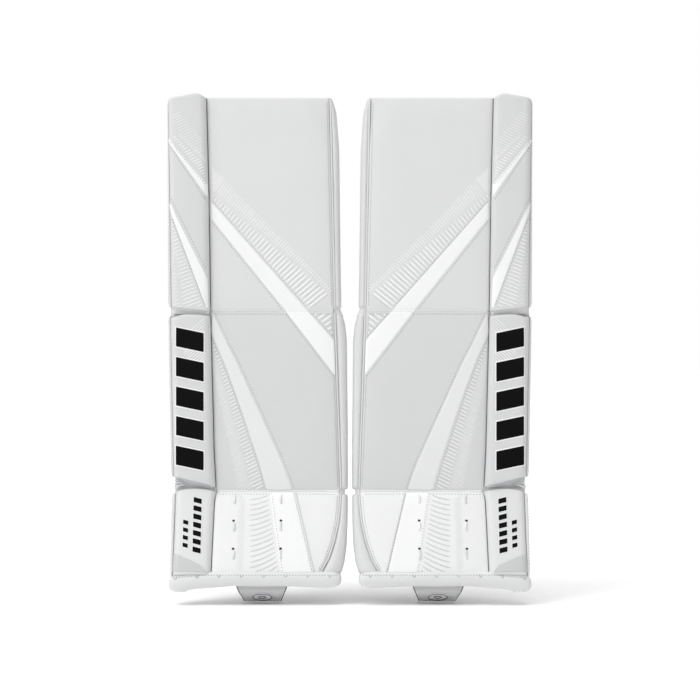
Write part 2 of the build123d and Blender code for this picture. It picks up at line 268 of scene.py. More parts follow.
def sheared(shape, low, high, at_low=0.0, at_high=0.0):
    """Slopes the ends of a panel, so that it clears its neighbour as the section flexes."""
    points, faces = shape
    t = (points[:, 2] - low) / (high - low)
    points[:, 2] += np.clip(points[:, 1], 0, None) * (at_low * (1 - t) - at_high * t)
    return points, faces


def kicked(shape):
    """A boot panel whose lower end follows the floor."""
    return sheared(shape, -BOOT_LENGTH, 0, at_low=KICK)


def tube(rings, joined=False):
    """A tube through rings of points (rows, columns, 3), closed on itself or with flat ends."""
    rows, cols = rings.shape[:2]
    grid = np.arange(rows * cols).reshape(rows, cols)
    ends = [] if joined else [grid[0, ::-1].tolist(), grid[-1].tolist()]
    if joined:
        grid = np.concatenate([grid, grid[:1]])
    right = np.roll(grid, -1, 1)
    faces = np.stack([grid[:-1], right[:-1], right[1:], grid[1:]], -1).reshape(-1, 4).tolist()
    return rings.reshape(-1, 3), faces + ends


def rope(points, radius, sides=8, up=(0, -1, 0)):
    """A round tube along points; up is a direction across it."""
    p = np.asarray(points, float)
    tangent = tangents(p)
    side = unit(np.cross(tangent, np.array(up, float)))
    rise = np.cross(side, tangent)
    radius = np.broadcast_to(radius, len(p))[:, None, None]
    angle = circle(sides)[None, :, None]
    return tube(p[:, None] + radius * (np.cos(angle) * side[:, None] + np.sin(angle) * rise[:, None]))


def strip(p, width, thickness, corner):
    """A flat strap along points, its width along s; corner is the part of its thickness that is rounded off."""
    across = np.broadcast_to((0.0, 0.0, 1.0), p.shape)
    rise = unit(np.cross(across, tangents(p)))
    w, h, c = width / 2, thickness / 2, thickness * corner
    profile = [(-w, -h + c), (-w + c, -h), (0, -h), (w - c, -h), (w, -h + c)]
    profile += [(w, h - c), (w - c, h), (0, h), (-w + c, h), (-w, h - c)]
    return tube(np.stack([p + a * across + b * rise for a, b in profile], 1))


def merge(parts):
    """Several (points, faces) as one."""
    verts, faces, start = [], [], 0
    for v, f in parts:
        verts.append(np.asarray(v, float))
        faces += [[int(i) + start for i in face] for face in f]
        start += len(v)
    return np.concatenate(verts), faces


def dashes(line, normal, pitch=4.8, radius=0.55):
    """Single stitches along a line of 3-D points; normal is the way out of the leather."""
    count = max(1, int(line_length(line) / pitch))
    p = resample(line, count * 6 + 1)
    out = np.asarray(normal, float)
    parts = []
    for a, b in zip(p[1::6], p[5::6]):
        path = [lerp(a, b, f) + out * h for f, h in ((0, -0.5), (0.2, 0.25), (0.8, 0.25), (1, -0.5))]
        parts.append(rope(path, radius, 5, up=out))
    return merge(parts)


# ---- surfaces to sew things on
RAY_START, MISSED_DEPTH = 200.0, 4.0


class Surface:
    """The outside of a finished cover, to lay bands, strokes and stitches on; strokes stay inside its area."""

    def __init__(self, section, shape, area=None, behind=False):
        self.section, self.area = section, area
        self.way = -1 if behind else 1
        verts, faces = merge([shape])
        self.tree = BVHTree.FromPolygons([tuple(v) for v in verts], faces)

    def at(self, x, s, lift=0.0):
        """The point over (x, s), in front or behind, raised off the leather by lift."""
        start, way = Vector((x, -RAY_START * self.way, s)), Vector((0, self.way, 0))
        hit, normal, _, _ = self.tree.ray_cast(start, way, 2 * RAY_START)
        if hit is None:
            return np.array((x, MISSED_DEPTH - lift, s))
        if normal.y * self.way > 0:
            normal = -normal
        return np.array(hit) + np.array(normal) * lift

    def lay(self, points, lift):
        return np.array([self.at(x, s, h) for (x, s), h in zip(points, np.broadcast_to(lift, len(points)))])


def ribbon(surface, points, width, lift, step=6.0):
    """A raised stroke sewn or welded on a surface, narrowing at its tips."""
    n = max(4, int(line_length(points) / step) + 3)
    p = resample(points, n)
    half = np.full(n, width / 2)
    half[[0, -1]] *= 0.35
    reach = left_of(p) * half[:, None]
    height = np.full(n, lift)
    height[[0, -1]] = 0.0
    rows = [(-1, -0.5), (-0.72, height), (0.72, height), (1, -0.5)]
    return tube(np.stack([surface.lay(p + reach * f, h) for f, h in rows], 1))


def panel(surface, edge_a, edge_b, lift=0.8, n=(10, 40)):
    """A leather band between two edges, laid on a surface: its top is raised and its rim rolls over."""
    sink = 0.6
    rows = np.concatenate([[0, 2], np.linspace(12, 387, n[1]), [397, 399]]).astype(int)
    a, b = resample(edge_a, 400)[rows], resample(edge_b, 400)[rows]
    t = np.concatenate([[0, 0.02], np.linspace(0.06, 0.94, n[0]), [0.98, 1]])
    h = np.concatenate([[-sink, lift * 0.75], np.full(n[0], lift), [lift * 0.75, -sink]])
    top = np.stack([surface.lay(lerp(a, b, ti), hi) for ti, hi in zip(t, h)], 1)
    low = np.stack([surface.lay(lerp(a, b, ti), -sink - 0.4) for ti in t[::-1]], 1)
    return tube(np.concatenate([top, low], 1))


STITCH_LENGTH, STITCH_WIDTH = 3.1, 1.15
STITCH_PROFILE = ((0, -0.3, 0.6), (0.2, 0.8, 1), (0.8, 0.8, 1), (1, -0.3, 0.6))  # along, height, width


def stitches(surface, points, pitch=4.7, lift=0.45):
    """A row of single stitches along a line."""
    count = max(1, int(line_length(points) / pitch))
    line = resample(points, count * 4 + 1)
    spare = (1 - STITCH_LENGTH / (line_length(points) / count)) / 2
    parts = []
    for a, b in zip(line[:-1:4], line[4::4]):
        start, end = lerp(a, b, spare), lerp(a, b, 1 - spare)
        d = unit(end - start)
        side = np.array((-d[1], d[0])) * STITCH_WIDTH / 2
        rows = []
        for t, h, w in STITCH_PROFILE:
            h, p = h * lift if h > 0 else h, lerp(start, end, t)
            corners = ((-w, -0.3), (-w * 0.7, h), (w * 0.7, h), (w, -0.3))
            rows.append([surface.at(*(p + side * f), height) for f, height in corners])
        parts.append(tube(np.array(rows)))
    return merge(parts)


def within(points, inside):
    """The first unbroken stretch of a line that lies inside a region."""
    p = resample(points, 40)
    keep = np.array([bool(inside(x, s)) for x, s in p])
    if not keep.any():
        return None
    first = int(np.argmax(keep))
    last = first + int(np.argmin(np.append(keep[first:], False)))
    return p[first:last] if last - first > 2 else None


def hatch(surface, base, count, angle, start, length, width, lift=0.5, phase=0.5, jitter=0.08, bow=0.0):
    """Parallel strokes that leave a base line. Pairs of values run from the line's first to its last end.

    Angles turn up from straight out: 180 is straight in.
    """
    line = resample(base, 400)
    parts = []
    for i in range(count):
        t = (i + phase) / count
        foot = line[int(t * 399)]
        turn = radians(lerp(*angle, t))
        way = np.array((cos(turn), sin(turn)))
        reach = lerp(*length, t) * (1 + jitter * rng.uniform(-1, 1))
        steps = np.linspace(0, 1, 9)[:, None]
        bend = np.array((-way[1], way[0])) * bow * reach
        stroke = foot + way * (lerp(*start, t) + steps * reach) + bend * (steps - steps**2) * 4
        stroke = within(stroke, surface.area)
        if stroke is not None and line_length(stroke) > 1.5:
            parts.append(ribbon(surface, stroke, lerp(*width, t), lift))
    return merge(parts)


# ---- materials
def feed(tree, socket, value):
    """Links a socket to another, or sets its value."""
    if isinstance(value, bpy.types.NodeSocket):
        tree.links.new(value, socket)
    else:
        socket.default_value = value


def link(tree, node_type, **inputs):
    node = tree.nodes.new(node_type)
    for key, value in inputs.items():
        feed(tree, node.inputs[key.replace("_", " ")], value)
    return node


def arithmetic(tree, operation, *values):
    node = tree.nodes.new("ShaderNodeMath")
    node.operation = operation
    for socket, value in zip(node.inputs, values):
        feed(tree, socket, value)
    return node.outputs[0]


def mix_color(tree, factor, a, b):
    node = tree.nodes.new("ShaderNodeMix")
    node.data_type = "RGBA"
    for socket, value in ((node.inputs[0], factor), (node.inputs[6], a), (node.inputs[7], b)):
        feed(tree, socket, value)
    return node.outputs[2]


def ramp(tree, factor, low, high):
    return link(tree, "ShaderNodeMapRange", Value=factor, From_Min=low, From_Max=high).outputs[0]


def shade(tone, factor=1.0):
    return tuple(v * factor for v in tone) + (1,)


def start_material(name):
    material = bpy.data.materials.new(name)
    material.use_nodes = True
    tree = material.node_tree
    return material, tree, link(tree, "ShaderNodeTexCoord").outputs["Object"]


def finish_material(tree, tint, rough, height, bump, distance):
    """Gives the shader its colour, its relief and its roughness: a value, or (factor, low, high)."""
    shader = tree.nodes["Principled BSDF"]
    if isinstance(rough, tuple):
        factor, low, high = rough
        rough = link(tree, "ShaderNodeMapRange", Value=factor, To_Min=low, To_Max=high).outputs[0]
    relief = link(tree, "ShaderNodeBump", Height=height, Strength=bump, Distance=distance)
    for name, value in (("Base Color", tint), ("Roughness", rough), ("Normal", relief.outputs[0])):
        feed(tree, shader.inputs[name], value)
    return shader


def leather(name, tone, grain=900.0, bump=0.16, rough=(0.4, 0.54), shine=0.4, painted_crease_shade=0.0):
    """Synthetic leather: fine pebbled grain, slow clouding of colour and gloss, and painted shade that darkens its
    creases.
    """
    material, tree, place = start_material(name)
    cells = link(tree, "ShaderNodeTexVoronoi", Vector=place, Scale=grain).outputs["Distance"]
    pores = link(tree, "ShaderNodeTexNoise", Vector=place, Scale=grain * 2.3, Detail=2.0).outputs[0]
    cloud = link(tree, "ShaderNodeTexNoise", Vector=place, Scale=14.0, Detail=4.0, Roughness=0.55).outputs[0]
    tint = mix_color(tree, ramp(tree, cloud, 0.3, 0.7), shade(tone, 0.955), shade(tone))
    tint = mix_color(tree, ramp(tree, cells, 0.0, 0.75), tint, shade(tone, 0.965))
    # painted shade: hollows and creases, where the pointiness is low, are darkened as shade would darken them
    if painted_crease_shade:
        edge = link(tree, "ShaderNodeNewGeometry").outputs["Pointiness"]
        tint = mix_color(tree, ramp(tree, edge, 0.47, 0.5), shade(tone, 1 - painted_crease_shade), tint)
    height = arithmetic(tree, "MULTIPLY_ADD", pores, 0.35, cells)
    shader = finish_material(tree, tint, (cloud, *rough), height, bump, 0.0006)
    shader.inputs["Specular IOR Level"].default_value = shine
    return material


def cloth(name, tone, count=420.0, bump=0.5, rough=0.85, contrast=0.55):
    """Woven or knitted cloth: two crossed sets of threads."""
    material, tree, place = start_material(name)
    threads = []
    for axis in ("X", "Z"):
        bands = link(tree, "ShaderNodeTexWave", Vector=place, Scale=count, Distortion=0.6)
        bands.bands_direction = axis
        threads.append(bands.outputs["Fac"])
    weave = arithmetic(tree, "MULTIPLY", *threads)
    fuzz = link(tree, "ShaderNodeTexNoise", Vector=place, Scale=60.0, Detail=5.0).outputs[0]
    tint = mix_color(tree, weave, shade(tone, contrast), shade(tone))
    tint = mix_color(tree, ramp(tree, fuzz, 0.35, 0.75), tint, shade(tone, 1.15))
    finish_material(tree, tint, rough, weave, bump, 0.0005)
    return material


def plastic(name, tone, rough=0.35, bump=0.15, scale=1500.0):
    """Moulded plastic with a fine spark-eroded texture and faint scuffs."""
    material, tree, place = start_material(name)
    fine = link(tree, "ShaderNodeTexNoise", Vector=place, Scale=scale, Detail=2.0).outputs[0]
    scuff = link(tree, "ShaderNodeTexNoise", Vector=place, Scale=35.0, Detail=6.0, Roughness=0.7).outputs[0]
    light = tuple(min(1.0, v * 1.12 + 0.004) for v in tone) + (1,)
    tint = mix_color(tree, ramp(tree, scuff, 0.45, 0.8), shade(tone), light)
    finish_material(tree, tint, (scuff, rough - 0.06, rough + 0.12), fine, bump, 0.0003)
    return material


WHITE = leather("white_leather", (0.70, 0.703, 0.707), painted_crease_shade=0.1)
# painted shade: the shin's copy of the white leather is made darker than the thigh's, for the shade it gets under
# light from above
WHITE_SHIN_PAINTED_SHADE = leather("shin_leather_painted_shade", (0.652, 0.655, 0.659), painted_crease_shade=0.1)
# painted light: the boot's copy of the white leather is made lighter, for the light that falls on its upturned face
WHITE_BOOT = leather("boot_leather_painted_light", (0.81, 0.812, 0.815), painted_crease_shade=0.08)
WHITE_BOOT_ROLL = leather("boot_roll_leather", (0.71, 0.713, 0.717), painted_crease_shade=0.08)
WHITE_ROLL = leather("roll_leather", (0.655, 0.658, 0.662), grain=800.0, painted_crease_shade=0.12)
WHITE_SIDE = leather("gusset_leather", (0.685, 0.688, 0.692), painted_crease_shade=0.12)
WHITE_BINDING = leather("binding_leather", (0.725, 0.728, 0.732), grain=760.0, painted_crease_shade=0.1)
WHITE_CRADLE = leather("cradle_leather", (0.70, 0.705, 0.715), grain=850.0, painted_crease_shade=0.12)
BAND = leather("band_leather", (0.875, 0.877, 0.88), grain=1100.0, bump=0.05, rough=(0.34, 0.44))
SWEEP = leather("sweep_leather", (0.77, 0.773, 0.777), grain=1100.0, bump=0.05, rough=(0.36, 0.46))
STROKE = leather("stroke_film", (0.93, 0.932, 0.935), grain=1300.0, bump=0.03, rough=(0.34, 0.42))
# painted shade: grey ribbons standing in for the shade in the pressed grooves of the graphics; the boot's are paler
SHADE = leather("groove_painted_shade", (0.60, 0.603, 0.61), grain=1200.0, bump=0.06)
FAINT = leather("boot_groove_painted_shade", (0.63, 0.633, 0.64), grain=1200.0, bump=0.05)
MARK = leather("mark_leather", (0.004, 0.004, 0.0045), grain=950.0, bump=0.06, rough=(0.6, 0.7), shine=0.06)
PATCH = leather("patch_leather", (0.565, 0.568, 0.572), grain=800.0, painted_crease_shade=0.12)
# painted shade: a darker copy of the white leather for the downward-facing fold over the boot
FOLD_PAINTED_SHADE = leather("fold_painted_shade", (0.54, 0.545, 0.555), grain=800.0, bump=0.2, painted_crease_shade=0.15)
# painted shade: the thread is grey, darker than the leather, for the shade in its stitch holes
THREAD_WITH_PAINTED_SHADE = cloth("thread", (0.40, 0.405, 0.415), count=900.0, bump=0.25, rough=0.6, contrast=0.8)
LACE = cloth("lace", (0.82, 0.82, 0.83), count=700.0, bump=0.35, rough=0.6, contrast=0.8)
HOLE_SHADOW = plastic("hole_shadow", (0.02, 0.02, 0.022), rough=0.7)
MESH = cloth("liner_cloth", (0.075, 0.08, 0.09), count=260.0, bump=0.8)
WEB = cloth("strap_webbing", (0.03, 0.03, 0.033), count=330.0, bump=0.7, rough=0.65)
LOOP = cloth("loop_tape", (0.045, 0.045, 0.048), count=620.0, bump=0.9, rough=0.9)
SHEET = plastic("stiffener_sheet", (0.72, 0.73, 0.75), rough=0.42)
CLIP = plastic("clip_plastic", (0.018, 0.018, 0.02), rough=0.38)
TOE = leather("toe_leather", (0.47, 0.47, 0.475), grain=1000.0, bump=0.08, painted_crease_shade=0.1)
TOE_EDGE = leather("toe_edge", (0.05, 0.05, 0.055), grain=900.0)
BADGE = plastic("badge", (0.72, 0.72, 0.73), rough=0.3)
METAL = plastic("rivet_metal", (0.55, 0.55, 0.57), rough=0.3, bump=0.05)
METAL.node_tree.nodes["Principled BSDF"].inputs["Metallic"].default_value = 1.0

# painted light: the toe tab gets paler between these heights, towards its tip, to lift the shade that falls on its
# lower end
PAINTED_LIGHT_TOP, PAINTED_LIGHT_TIP = 0.026, 0.004
toe_tree = TOE.node_tree
toe_color = toe_tree.nodes["Principled BSDF"].inputs["Base Color"]
height = link(toe_tree, "ShaderNodeSeparateXYZ", Vector=link(toe_tree, "ShaderNodeTexCoord").outputs["Object"])
painted_light = ramp(toe_tree, height.outputs["Z"], PAINTED_LIGHT_TOP, PAINTED_LIGHT_TIP)
toe_tint = toe_color.links[0].from_socket
feed(toe_tree, toe_color, mix_color(toe_tree, painted_light, toe_tint, (0.86, 0.86, 0.865, 1)))


# ---- making the pieces
def new_mesh(name, points, faces):
    mesh = bpy.data.meshes.new(name)
    mesh.from_pydata([tuple(p) for p in points], [], [[int(i) for i in face] for face in faces])
    return mesh


def new_object(name, data):
    piece = bpy.data.objects.new(name, data)
    bpy.context.collection.objects.link(piece)
    return piece


def add(name, shape, body, material, section="own", replaces="", crosses=None, cuts=1):
    """Makes a piece for both pads from (points, faces) in millimetres, or a list of them.

    The points are in the coordinates of the body's own section, of another, or with None in the world's.
    crosses is (other body, start, end), in world millimetres, for leather that crosses a break; only whether it is
    given is used: such a piece stays in world coordinates and rides on no body.
    """
    verts, faces = merge(shape) if isinstance(shape, list) else shape
    section = OWN_SECTION[body] if section == "own" else section
    verts = section.world(verts) if section else np.asarray(verts, float)
    for side, sign in (("left", 1), ("right", -1)):
        mesh = new_mesh(f"{side}_{name}", verts * np.array((sign, 1, 1)) * MM, faces)
        mesh.validate()
        shell = bmesh.new()
        shell.from_mesh(mesh)
        bmesh.ops.recalc_face_normals(shell, faces=shell.faces)
        shell.to_mesh(mesh)
        shell.free()
        mesh.materials.append(material)
        mesh.shade_smooth()
        piece = new_object(f"{side}_{name}", mesh)
        if cuts:
            rounder = piece.modifiers.new("round", "SUBSURF")
            rounder.levels = rounder.render_levels = cuts
        if crosses:
            other, start, end = crosses
            start, end = ((p[0] * sign * MM, p[1] * MM, p[2] * MM) for p in (start, end))
            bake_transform(piece)
        else:
            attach(piece, f"{side}_{body}")
        if replaces:
            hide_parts(*[f"{side}_{node}" for node in replaces.split()])


def sew(name, seams, body, section="own"):
    """Adds rows of stitches as one piece."""
    add(name, seams, body, THREAD_WITH_PAINTED_SHADE, section, cuts=0)


def puff(shape, sewn, cap, frames=16):
    """Fills a closed padded shape with pressure, as cloth held wherever its depth is less than sewn.

    cap is how far a point may move, in millimetres.
    """
    verts, faces = shape
    piece = new_object("filling", new_mesh("filling", verts * MM, faces))
    held = piece.vertex_groups.new(name="held")
    held.add([int(i) for i in np.nonzero(verts[:, 1] < sewn)[0]], 1.0, "REPLACE")
    cloth_modifier = piece.modifiers.new("cloth", "CLOTH")
    settings = cloth_modifier.settings
    settings.quality = 6
    settings.mass = 0.3
    settings.vertex_group_mass = "held"
    settings.use_pressure = True
    settings.uniform_pressure_force = 4.0
    settings.tension_stiffness = settings.compression_stiffness = 20
    settings.bending_stiffness = 1.0
    settings.effector_weights.gravity = 0
    cloth_modifier.point_cache.frame_end = frames
    scene = bpy.context.scene
    for step in range(1, frames + 1):
        scene.frame_set(step)
    result = piece.evaluated_get(bpy.context.evaluated_depsgraph_get())
    moved = np.array([v.co for v in result.data.vertices]) / MM - verts
    scene.frame_set(1)
    bpy.data.objects.remove(piece, do_unlink=True)
    far = np.maximum(np.linalg.norm(moved, axis=1, keepdims=True), 1e-6)
    return verts + moved * np.minimum(1.0, cap / far), faces


# ---- outlines shared by the covers
SEAM_GAP = 0.35
thigh_inner = edge_line([(24.6, 0), (31.6, THIGH_LENGTH)])
thigh_seam = edge_line([(217.6, 0), (219.6, 180), (223.0, THIGH_LENGTH)])
shin_inner = edge_line([(15.0, 0), (24.8, SHIN_LENGTH)])
shin_seam = edge_line([(209.0, 0), (212.2, 60), (217.6, SHIN_LENGTH)])
boot_inner = edge_line([(15.0, 0), (16.2, -20), (19.2, -50), (25.0, -78), (34.4, -108), (48.4, -BOOT_LENGTH)])
boot_seam = edge_line([(214.2, -BOOT_LENGTH), (211.0, -14), (207.4, 0)])
thigh_roll_edge = edge_line([(278.4, 0), (281.0, 230), (282.6, 336)])
shin_roll_edge = edge_line([(274.6, 12), (280.2, SHIN_LENGTH)])
boot_roll_edge = edge_line([(273.8, -BOOT_LENGTH), (272.2, 0)])
thigh_side_edge = edge_line([(283.2, 0)])
shin_side_edge = edge_line([(278.4, 12), (283.3, SHIN_LENGTH)])
boot_side_edge = edge_line([(277.3, 0)])


# ---- thigh, shin and boot covers
def cover(inner, seam, low, high, crown, depth=47.5, n=(32, 46), detail=None):
    """A section's padded front: slightly crowned leather over its foam core, sunk along all four edges."""
    place = between(lambda s: inner(s) + SEAM_GAP, lambda s: seam(s) - SEAM_GAP, low, high)

    def front(a, b):
        swell = (1 - np.abs(2 * a - 1) ** 6) * (1 - np.abs(2 * b - 1) ** 9)
        x, s = place(a, b)
        d = 0.4 - crown * swell + 0.3 * wave(x, s, 160, 1.0)
        return d + detail(x, s) if detail else d

    return slab(place, (190, high - low), front, depth, (5.5, 2.2), 2.6, n, back_drop=5, bulge=0.3, turn=0.15)


def facet(x, s):
    """The thigh's top inner corner is faceted."""
    return 2.4 * smooth(((s - THIGH_LENGTH) + (68 - x) * 1.25 + 36) / 40.0) * smooth((75 - x) / 40)


thigh_shape = cover(thigh_inner, thigh_seam, 0.15, THIGH_LENGTH - 2.0, 3.6, detail=facet)
thigh_shape = sheared(thigh_shape, 0, THIGH_LENGTH, at_low=KNEE_SLOPE)
shin_shape = sheared(cover(shin_inner, shin_seam, 0.4, SHIN_LENGTH - 0.25, 3.6), 0, SHIN_LENGTH, at_high=KNEE_SLOPE)
boot_shape = kicked(cover(boot_inner, boot_seam, -BOOT_LENGTH - 4, -0.3, 2.6, 38.5, (32, 28)))
covers = (("thigh", thigh_shape, WHITE), ("shin", shin_shape, WHITE_SHIN_PAINTED_SHADE), ("boot", boot_shape, WHITE_BOOT))
for body, shape, material in covers:
    add(f"{body}_cover", shape, body, material, replaces=f"{body}_face {body}_core")


# ---- outer rolls
def roll(inner, outer, low, high, proud, crown, depth, n, ends, seed):
    """An outer roll: a foam bar in leather. low and high give its ends from the fraction across it."""
    place = between(lambda s: inner(s) + SEAM_GAP, outer, low, high)

    def front(a, b):
        x, s = place(a, b)
        return 2.0 - proud - crown * (1 - np.abs(2 * a - 1) ** 3) + 0.5 * wave(x, s, 90, seed)

    return slab(place, (62, high(0.5) - low(0.5)), front, depth, (9, ends), 10, n, back_drop=3, bulge=0.3, turn=0.12)


def side_panel(edge, outside, low, high, depth, seed):
    """The flat leather side that closes a roll's outer face."""
    place = between(lambda s: edge(s) - 0.3, outside, low, high)

    def front(a, b):
        return -1.2 + 0.5 * wave(0 * a, place(a, b)[1], 110, seed)

    return slab(place, (5, high - low), front, depth, (1.6, 9), 3.0, (3, 40), back_drop=3, turn=0.9)


def thigh_roll_top(a):
    """Rises from the outer edge to a peak and falls to the seam; a is 0 at the seam and 1 outside."""
    return np.interp(a, [0, 0.19, 0.27, 0.86, 0.95, 1], [331.0, 338.2, 339.0, 332.6, 330.6, 326.6])


def shin_roll_top(a):
    return SHIN_LENGTH - 7.2 + 3.0 * np.sin(pi * np.clip(a, 0, 1)) ** 0.8 - 3.5 * smooth((a - 0.6) / 0.4)


def boot_roll_top(a):
    return -1.2 + 5.4 * np.sin(pi * np.clip(a, 0, 1)) ** 0.7


thigh_ends = (lambda a: lerp(-1.6, 5.0, a), thigh_roll_top)
shin_ends = (lambda a: lerp(5.6, 21.5, a), shin_roll_top)
boot_ends = (lambda a: -BOOT_LENGTH - 3, boot_roll_top)
thigh_roll_shape = roll(thigh_seam, thigh_roll_edge, *thigh_ends, 12, 2.0, 46.5, (16, 50), 3.0, 2.0)
shin_roll_shape = roll(shin_seam, shin_roll_edge, *shin_ends, 12, 2.0, 46.5, (16, 50), 4.5, 4.0)
boot_roll_shape = kicked(roll(boot_seam, boot_roll_edge, *boot_ends, 7.5, 1.8, 38.0, (16, 28), 3.4, 6.0))
thigh_panel = side_panel(thigh_roll_edge, thigh_side_edge, 5.0, 325.5, 46.0, 1.0)
shin_panel = side_panel(shin_roll_edge, shin_side_edge, 22.0, SHIN_LENGTH - 9.0, 46.0, 2.0)
boot_panel = kicked(side_panel(boot_roll_edge, boot_side_edge, -BOOT_LENGTH - 3, -3.0, 37.6, 3.0))
for body, shape, material, panel_shape in (
    ("thigh", thigh_roll_shape, WHITE_ROLL, thigh_panel),
    ("shin", shin_roll_shape, WHITE_ROLL, shin_panel),
    ("boot", boot_roll_shape, WHITE_BOOT_ROLL, boot_panel),
):
    add(f"{body}_roll", shape, body, material, replaces=f"{body}_roll")
    add(f"{body}_roll_side", panel_shape, body, WHITE_SIDE)


# ---- inner gussets
def gusset(inner_edge, face_edge, low, high, depth=47.0, n=(8, 44)):
    """The narrow padded side between the face and the inner edge."""
    place = between(inner_edge, lambda s: face_edge(s) - 0.2, low, high)

    def front(a, b):
        x, s = place(a, b)
        return 3.2 - 2.4 * np.clip(a, 0, 1) + 0.4 * wave(x, s, 70, 3.0)

    return slab(place, (14, high - low), front, depth, (6.4, 6), 8.5, n, back_drop=4)


thigh_gusset_edge = edge_line([(13.4, 0), (14.6, 61), (16.8, 250), (21.0, 308), (28.6, THIGH_LENGTH)])
shin_gusset_edge = edge_line([(3.3, 0), (3.6, 100), (5.0, 235), (8.0, 264), (14.2, SHIN_LENGTH - 3)])
boot_gusset_edge = edge_line([(3.3, 0), (3.8, -50), (5.0, -85), (8.4, -115), (13.5, -BOOT_LENGTH)])
thigh_gusset_shape = gusset(thigh_gusset_edge, thigh_inner, 3.4, THIGH_LENGTH - 2.5)
shin_gusset_shape = gusset(shin_gusset_edge, shin_inner, 1.8, SHIN_LENGTH - 3.2)
boot_gusset_shape = kicked(gusset(boot_gusset_edge, boot_inner, -BOOT_LENGTH - 2, -1.8, 38.0, (8, 26)))
for body, shape, edge, low, high in (
    ("thigh", thigh_gusset_shape, thigh_inner, 2.0, THIGH_LENGTH - 1.0),
    ("shin", shin_gusset_shape, shin_inner, 1.5, SHIN_LENGTH - 1.5),
    ("boot", boot_gusset_shape, boot_inner, -BOOT_LENGTH + 1, -1.5),
):
    add(f"{body}_gusset", shape, body, WHITE_SIDE, replaces=f"{body}_gusset")
    s = np.linspace(low, high, 40)
    add(f"{body}_piping", rope(spots(edge(s) - 0.9, 2.3, s), 1.5), body, WHITE_BINDING)


# ---- leather that folds at the breaks
def over(other, start, end, y=THIGH.y):
    """The (other body, start, end) that add takes as crosses, for leather that crosses from one body to another
    between two heights.
    """
    return other, (0, y, start), (0, y, end)


def bellows(upper, lower, upper_x, lower_x, reach):
    """Leather that wraps a break: across its front and round both sides. upper and lower are (section, s)."""
    deep, thick, sag = 4.6, 2.6, 1.2
    corner = [(0, 3), (0.9, 0.9), (3, 0)]
    t = np.linspace(0, 1, 9)
    grids = []
    for inset in (0.0, thick):
        ends = []
        for (section, s), (x_in, x_out) in ((upper, upper_x), (lower, lower_x)):
            low, high, front = x_in + inset, x_out - inset, deep + inset
            line = [(low, reach)] + [(low + a, front + b) for a, b in corner]
            line += [(high - a, front + b) for a, b in corner[::-1]] + [(high, reach)]
            line = resample(line, 60)
            ends.append(section.world(spots(line[:, 0], line[:, 1], s)))
        grid = lerp(ends[0][:, None], ends[1][:, None], t[None, :, None])
        pull = unit((grid.mean((0, 1)) - grid) * np.array((1, 1, 0)))
        grids.append(grid + pull * (sag * np.sin(pi * t))[None, :, None])
    return tube(np.concatenate([grids[0], grids[1][:, ::-1]], 1))


def fold(top, bottom, sag, rows, crumple, seed, thick):
    """A closed sheet of leather between two lines of world points, sagging inwards (+y) and crumpled."""
    t = np.linspace(0, 1, rows)
    front = lerp(top[:, None], bottom[:, None], t[None, :, None])
    pull = np.sin(pi * t)[None, :]
    front[..., 1] += sag * pull + crumple * pull * wave(front[..., 0], front[..., 2] * 1.6, 26, seed)
    back = front + np.array((0, thick, 0))
    return tube(np.concatenate([front, back[:, ::-1]], 1))


knee_wrap = bellows((THIGH, 9.0), (SHIN, SHIN_LENGTH - 9.0), (17.0, 281.4), (9.8, 281.0), 43.0)
add("knee_bellows", knee_wrap, "shin", WHITE_SIDE, None, crosses=over("thigh", KNEE_Z - 5, KNEE_Z + 5))
boot_wrap = bellows((SHIN, 8.0), (BOOT, -8.0), (7.0, 275.6), (7.0, 274.6), 36.0)
add("boot_bellows", boot_wrap, "shin", WHITE_SIDE, None, crosses=over("boot", BOOT_Z + 5, BOOT_Z - 5))

# soft welts fill the front of both breaks
for name, x0, x1, d, s, radius, material in (
    ("knee_welt", thigh_inner(0) + 1, thigh_seam(0) - 2, 1.5, SHIN_LENGTH, 1.7, WHITE),
    ("knee_band_welt", 66.0, 100.4, 1.2, SHIN_LENGTH, 2.1, BAND),
    ("boot_top_welt", shin_inner(0) + 1, shin_seam(0) - 2, 1.3, 0, 1.7, WHITE_BOOT),
):
    add(name, rope(spots(np.linspace(x0, x1, 40), d, s), radius, 10), "shin", material)

# the outer rolls' folds: a flat tongue at the knee and a deeper crumpled web over the boot
s = np.linspace(0, 1, 26)
brow = 2 * s - 1
knee_top = THIGH.world(spots(lerp(219.5, 277.0, s), -6.0 + 3.5 * brow**6, lerp(-0.2, 7.6, s)))
knee_low = SHIN.world(spots(lerp(219.5, 277.0, s), -4.5 + 3.5 * brow**6, SHIN_LENGTH - 6.4 + 2 * s))
tongue_line = THIGH.world(spots(lerp(221, 276.5, s), -7.4, lerp(-1.6, 4.6, s)))
for name, shape, material in (
    ("knee_roll_fold", fold(knee_top, knee_low, 1.2, 10, 0.5, 2.0, 7.0), WHITE_SIDE),
    ("knee_tongue", rope(tongue_line, 1.5 * (1 - 0.45 * (1 - s)), 10), WHITE_ROLL),
):
    add(name, shape, "shin", material, None, crosses=over("thigh", KNEE_Z - 3, KNEE_Z + 5))
boot_top = SHIN.world(spots(lerp(212.5, 273.5, s), -7.0 + 4.0 * brow**8, lerp(7.5, 23.5, s)))
boot_low = BOOT.world(spots(lerp(212.5, 271.0, s), -2.6 + 3.0 * brow**8, -2.6 + 5.2 * np.sin(pi * s) ** 0.7))
boot_fold = fold(boot_top, boot_low, 5.0, 18, 2.4, 5.0, 8.0)
add("boot_roll_fold", boot_fold, "shin", FOLD_PAINTED_SHADE, None, crosses=over("boot", BOOT_Z + 9, BOOT_Z - 2))
lip = spots(lerp(213.5, 273.0, s), -8.4 + 4.6 * brow**6, lerp(6.4, 21.6, s))
add("boot_fold_lip", rope(lip, 1.1), "shin", WHITE_ROLL)
creases = []
